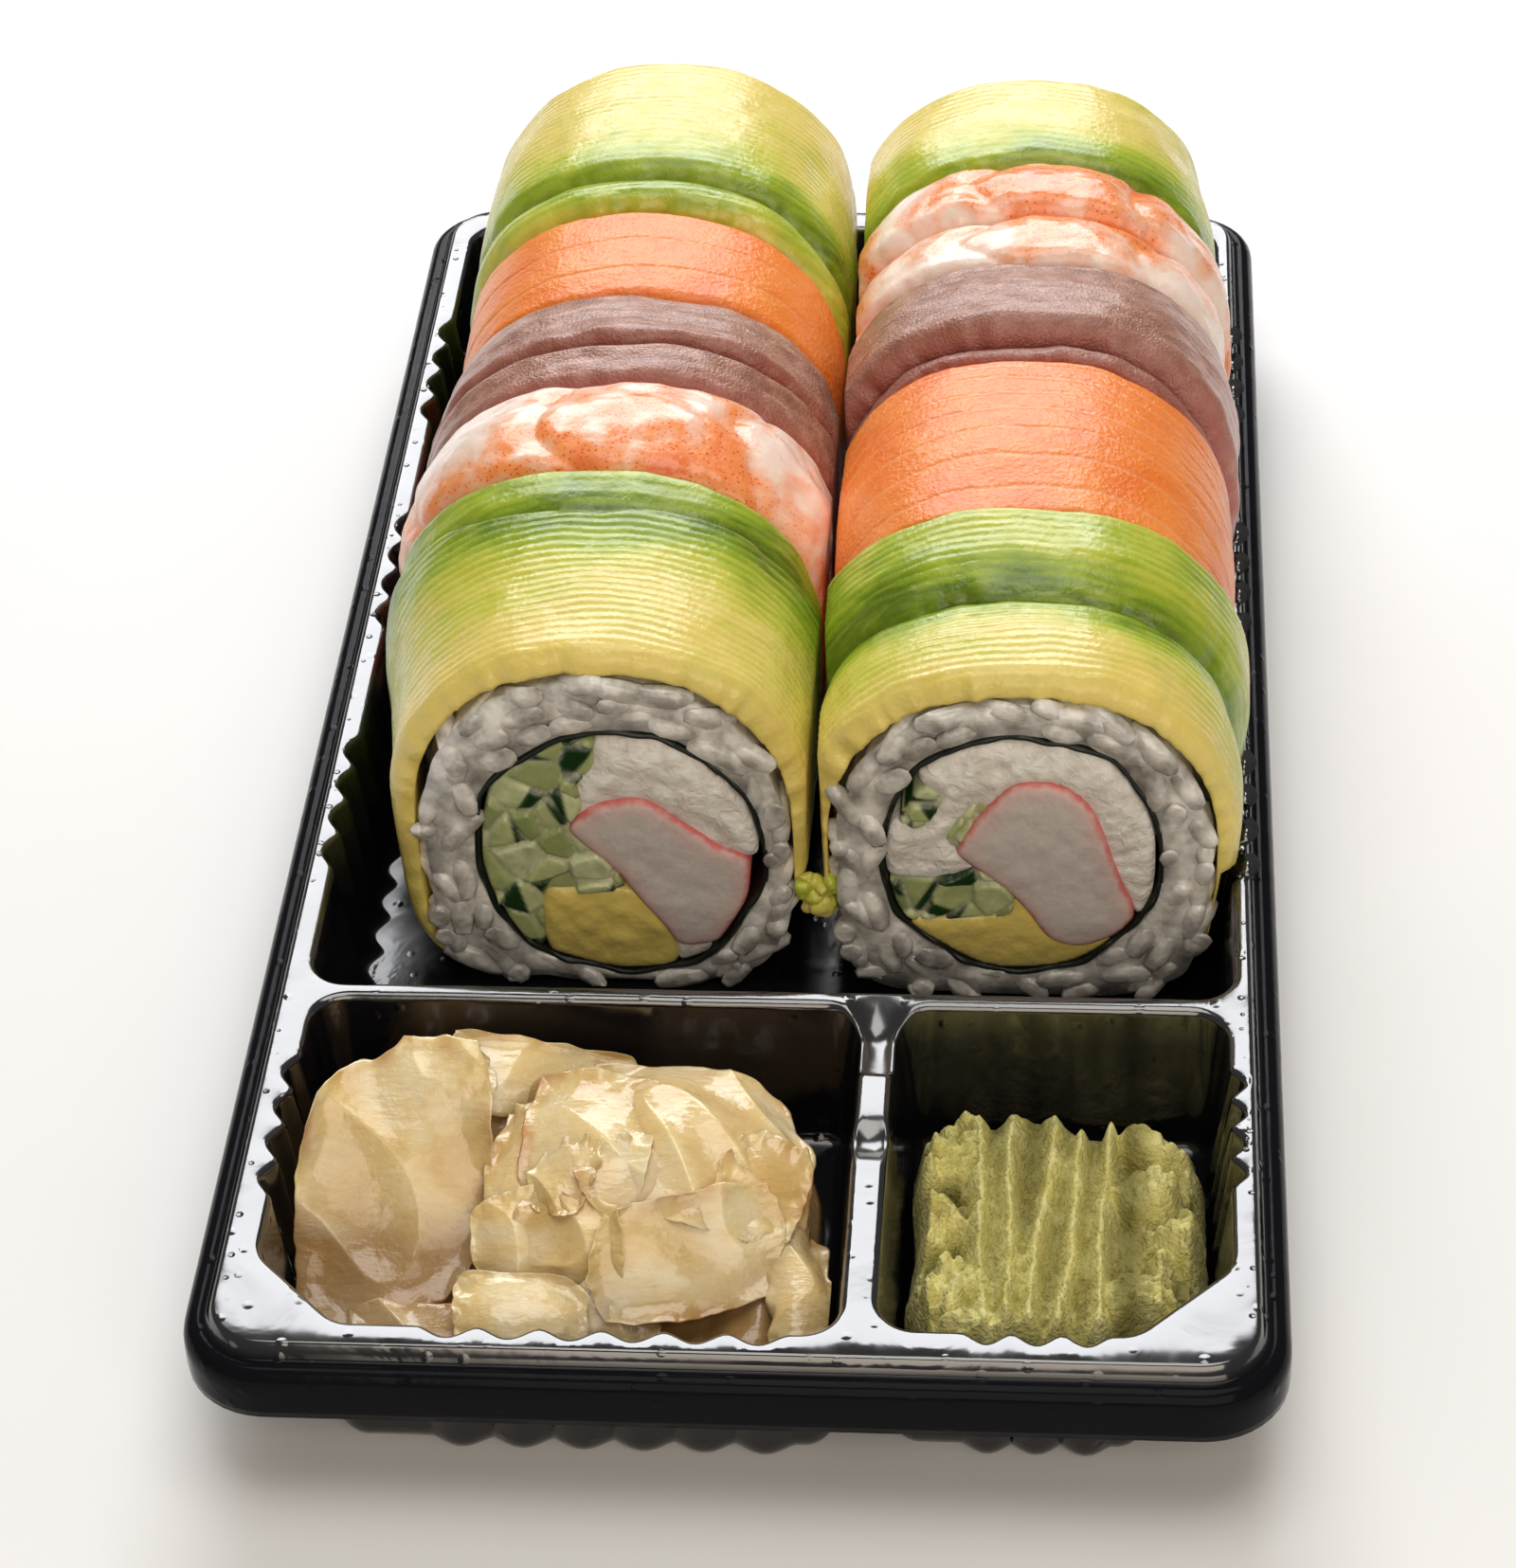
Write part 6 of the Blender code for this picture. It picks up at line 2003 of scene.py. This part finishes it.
@dataclass
class WasabiHeap:
    """Wasabi pressed into its pocket: sharp lengthways ridges with clumps at both sides."""

    box: tuple[float, float, float, float] = (14.4, 42.6, -88.2, -50.8)
    level: float = 7.4
    ridge_height: float = 3.4
    ridges: tuple[tuple[float, float], ...] = (
        (24.1, 0.1), (27.2, 1.1), (30.0, 1.2), (32.8, 0.6), (21.3, -0.8))
    lumps: tuple[tuple[float, ...], ...] = (
        (38.0, -59.0, 3.6, 4.2), (36.2, -66.5, 3.0, 3.4), (39.4, -73.0, 2.8, 3.2), (35.8, -80.0, 3.4, 3.4),
        (18.6, -60.5, 3.2, 2.4), (17.4, -70.0, 2.6, 2.2), (18.8, -79.5, 3.0, 3.4), (20.0, -85.0, 2.6, 2.6),
        (38.4, -52.8, 2.6, 2.2))
    clods_a_side: int = 14

    RIDGE_HALF_WIDTH = 0.95
    MIDDLE_X = 28.5

    def clods(self) -> list[tuple[float, float, float, float]]:
        """Small clods drawn at random along both sides: middle, radius and height."""
        draw = np.random.default_rng(12)
        return [(self.MIDDLE_X + side * draw.uniform(8.2, 13.4), draw.uniform(-87, -54),
                 draw.uniform(1.1, 2.4), draw.uniform(1.0, 3.2))
                for side in (-1, 1) for _ in range(self.clods_a_side)]

    def build(self) -> Object:
        """Builds the heap from its height: level, ridges, lumps and crumbly noise."""
        u, v = np.meshgrid(np.linspace(-1, 1, 190), np.linspace(-1, 1, 220), indexing="ij")
        rim = np.maximum(np.abs(u), np.abs(v))
        mark = np.stack([u, v, 0 * u], axis=-1) / np.maximum(rim, 0.05)[..., None]
        bulge = 1 - 0.12 * (u * v) ** 4 - rim ** 2 * 0.07 * np.abs(fractal(mark, 0.4, 2, 69))
        x = (self.box[0] + self.box[1]) / 2 + u * bulge * (self.box[1] - self.box[0]) / 2
        y = (self.box[2] + self.box[3]) / 2 + v * bulge * (self.box[3] - self.box[2]) / 2
        flat = np.stack([x, y, 0 * x], axis=-1)
        height = np.full(x.shape, self.level)
        on_ridge = np.zeros(x.shape)
        for middle, lean in self.ridges:
            line = middle + lean * (y + 68) / 17 + 0.2 * np.sin(y / 4.7 + middle)
            line = line + 0.12 * fractal(flat, 1.6, 3, 61)
            crest = 1.05 + 0.25 * noise(flat, 4.0, int(middle))
            crest = crest * smooth_step((1 - v) / 0.4) ** 0.5
            shape = np.exp(-np.abs((x - line) / self.RIDGE_HALF_WIDTH) ** 1.8)
            on_ridge = np.maximum(on_ridge, shape)
            height = height + self.ridge_height * crest * shape
        swirl = 1.1 * noise(flat, 2.6, 62)
        for cx, cy, radius, tall in [*self.lumps, *self.clods()]:
            away = ((x - cx + swirl) ** 2 + (y - cy + swirl) ** 2) / radius ** 2
            clod = self.level + tall * np.exp(-away ** 2.4)
            height = np.maximum(height, clod + 0.25 * (height - self.level))
        height = height + 1.6 * np.clip((-y - 68) / 18, 0, 1)
        side = smooth_step((np.abs(x - self.MIDDLE_X) - 6.5) / 3.0)
        crumble = np.abs(fractal(flat, 4.2, 4, 63))
        height = height + side * (2.2 * crumble + 1.2 * np.abs(noise(flat, 1.3, 66)) - 1.6)
        height = height + 0.5 * fractal(flat, 1.1, 3, 64)
        height = height + (1 - side) * 0.45 * noise(flat * [1.0, 0.5, 1.0], 2.4, 67)
        edge = np.clip(1.3 - np.maximum(np.abs(u), np.abs(v)) ** 8, 0.35, 1)
        edge = edge * (1 - 0.55 * smooth_step((v - 0.55 + 0.2 * noise(flat, 4.0, 68)) / 0.45))
        z = FOOD_BASE + height * edge
        top = keep_in_pocket(np.stack([x, y, z], axis=-1), POCKETS["wasabi"], 0.1, FOOD_BASE + 0.2)
        # Painted shade: darker between the ridges and in low places.
        between = (1 - side) * 0.8 * (1 - on_ridge) ** 2
        deep = np.maximum(smooth_step((9.4 - height) / 3.4) * 0.85, between)
        parts = MeshParts()
        close_heap(parts, top, deep)
        mesh = parts.mesh("wasabi")
        return place_piece("wasabi_heap", mesh, Wasabi().material(), ["wasabi"])


# Small things


@dataclass
class SeamCrumbs:
    """Bits of mashed avocado caught between the two rolls at the front."""

    middle: Triple = (3.9, -28.0, 12.6)
    spread: Triple = (1.5, 0.5, 2.6)
    count: int = 14

    def build(self, material: Material) -> Object:
        """Builds the bits as lumpy balls."""
        draw = np.random.default_rng(4)
        bend, swing = np.meshgrid(np.linspace(0.02, math.pi - 0.02, 14),
                                  np.linspace(0, 2 * math.pi, 20, endpoint=False), indexing="ij")
        ball = np.stack([np.sin(bend) * np.cos(swing), np.sin(bend) * np.sin(swing), np.cos(bend)], axis=-1)
        unit = np.vstack([ball.reshape(-1, 3), [[0, 0, 1.0], [0, 0, -1.0]]])
        faces = ball_faces(*ball.shape[:2])
        parts = MeshParts()
        for radius in draw.uniform(0.5, 1.15, self.count):
            middle = np.array(self.middle) + draw.uniform(-1, 1, 3) * np.array(self.spread)
            lumpy = radius * (1 + 0.3 * fractal(unit * radius + middle, 0.9, 3, 8))
            points = middle + unit * lumpy[:, None]
            parts.add(points, faces, green=draw.uniform(0.1, 0.6))
        return place_piece("avocado_crumbs", parts.mesh("avocado_crumbs"), material)


@dataclass
class Droplets:
    """Clear drops on the flange, as flat domes."""

    count: int = 90
    seed: int = 7
    rings: int = 5
    segments: int = 14

    def build(self) -> Object:
        """Scatters the drops along the flange's sides and builds them together."""
        draw = np.random.default_rng(self.seed)
        side = draw.integers(0, 2, self.count) * 2 - 1
        along = draw.uniform(-88, 88, self.count)
        centre = np.stack([side * draw.uniform(45.4, 45.9, self.count), along,
                           np.full(self.count, TRAY_HEIGHT - 0.06)], axis=-1)
        radius = draw.uniform(0.12, 0.42, self.count)
        b, s = np.meshgrid(np.linspace(0.12, math.pi / 2, self.rings),
                           np.linspace(0, 2 * math.pi, self.segments, endpoint=False), indexing="ij")
        dome = np.stack([np.sin(b) * np.cos(s), np.sin(b) * np.sin(s), 0.5 * np.cos(b)], axis=-1)
        unit = np.vstack([dome.reshape(-1, 3), [[0, 0, 0.5]], [[0, 0, -0.1]]])
        points = centre[:, None] + unit * radius[:, None, None]
        parts = MeshParts()
        parts.add(points, ball_faces(self.rings, self.segments, self.count))
        return place_piece("drops", parts.mesh("drops"), Water().material())


# Studio


@dataclass
class Studio:
    """The pale floor, the soft lights and the camera at the photograph's viewing angle."""

    place: Triple = (30.19, -348.98, 293.5)
    yaw: float = -0.098
    pitch: float = math.radians(39.5)
    roll: float = -0.047
    lens: float = 98.54

    def camera(self) -> None:
        """Places the camera: f along the view, r to the right and u up, turned by the roll."""
        forward = Vector((math.sin(self.yaw) * math.cos(self.pitch),
                          math.cos(self.yaw) * math.cos(self.pitch), -math.sin(self.pitch)))
        right = Vector((math.cos(self.yaw), -math.sin(self.yaw), 0.0))
        up = right.cross(forward)
        turned_right = right * math.cos(self.roll) + up * math.sin(self.roll)
        turned_up = up * math.cos(self.roll) - right * math.sin(self.roll)
        data = bpy.data.cameras.new("camera")
        data.lens = self.lens
        data.sensor_width = 36.0
        data.clip_start = 0.01
        item = bpy.data.objects.new("camera", data)
        turning = Matrix((turned_right, turned_up, -forward)).transposed().to_4x4()
        item.matrix_world = Matrix.Translation(Vector(self.place) * MM) @ turning
        bpy.context.scene.collection.objects.link(item)
        bpy.context.scene.camera = item

    @staticmethod
    def panel(name: str, place: Triple, target: Triple, size: tuple[float, float], power: float,
              colour: Colour) -> None:
        """A soft rectangular light that faces a point.

        Args:
            name: the light's name.
            place: its middle.
            target: what it faces.
            size: its width and height.
            power: its power in watts.
            colour: its colour.
        """
        data = bpy.data.lights.new(name, "AREA")
        data.shape = "RECTANGLE"
        data.size, data.size_y = size[0] * MM, size[1] * MM
        data.energy = power
        data.color = colour
        item = bpy.data.objects.new(name, data)
        item.location = Vector(place) * MM
        item.rotation_euler = (Vector(target) - Vector(place)).to_track_quat("-Z", "Y").to_euler()
        bpy.context.scene.collection.objects.link(item)

    def build(self) -> None:
        """Builds the whole set."""
        self.camera()
        self.panel("back_panel", (-60.0, 470.0, 390.0), (0.0, 0.0, 15.0), (480.0, 420.0), 3.45,
                   (0.96, 0.97, 1.0))
        self.panel("top_panel", (30.0, -70.0, 640.0), (0.0, -30.0, 15.0), (420.0, 420.0), 1.6,
                   (1.0, 0.97, 0.92))
        self.panel("front_fill", (120.0, -520.0, 330.0), (0.0, 0.0, 20.0), (500.0, 400.0), 1.4,
                   (1.0, 0.87, 0.72))
        world = bpy.data.worlds.new("studio")
        world.use_nodes = True
        background = world.node_tree.nodes["Background"]
        background.inputs["Color"].default_value = (1.0, 0.97, 0.92, 1.0)
        background.inputs["Strength"].default_value = 0.15
        bpy.context.scene.world = world
        bpy.context.scene.view_settings.view_transform = "Standard"
        sheet = NodeSheet("floor")
        speckle = sheet.noise(40.0, 2.0)
        paper = sheet.blend(speckle, (0.86, 0.86, 0.86), (0.9, 0.9, 0.9))
        mesh = bpy.data.meshes.new("floor")
        mesh.from_pydata([(-3, -3, 0), (3, -3, 0), (3, 3, 0), (-3, 3, 0)], [], [(0, 1, 2, 3)])
        mesh.materials.append(sheet.finish(paper, None, 0.8))
        floor = bpy.data.objects.new("floor", mesh)
        bpy.context.scene.collection.objects.link(floor)


def main() -> None:
    """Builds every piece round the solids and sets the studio."""
    logging.basicConfig(level=logging.INFO, format="%(message)s")
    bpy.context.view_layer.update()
    Tray().build()
    rice = RiceGrain().material()
    seaweed = SeaweedSheet().material()
    for row in ROWS.values():
        RiceRoll(row).build(rice)
        Nori(row).build(seaweed)
    kinds = {Slot.CRAB: CrabStick(), Slot.CHEESE: CreamCheese(), Slot.CUCUMBER: Cucumber(),
             Slot.AVOCADO: Avocado(), Slot.PRAWN: Prawn(), Slot.TUNA: Tuna(), Slot.SALMON: Salmon()}
    finishes = {slot: kind.material() for slot, kind in kinds.items()}
    fillings = Fillings(ROWS["left"], ROWS["right"])
    for filling in fillings.left_pieces() + fillings.right_pieces():
        filling.build(finishes[filling.slot])
    for topping in TOPPINGS:
        topping.build(finishes[topping.SLOT])
    GingerHeap().build()
    WasabiHeap().build()
    SeamCrumbs().build(finishes[Slot.AVOCADO])
    Droplets().build()
    Studio().build()


if __name__ == "__main__":
    main()
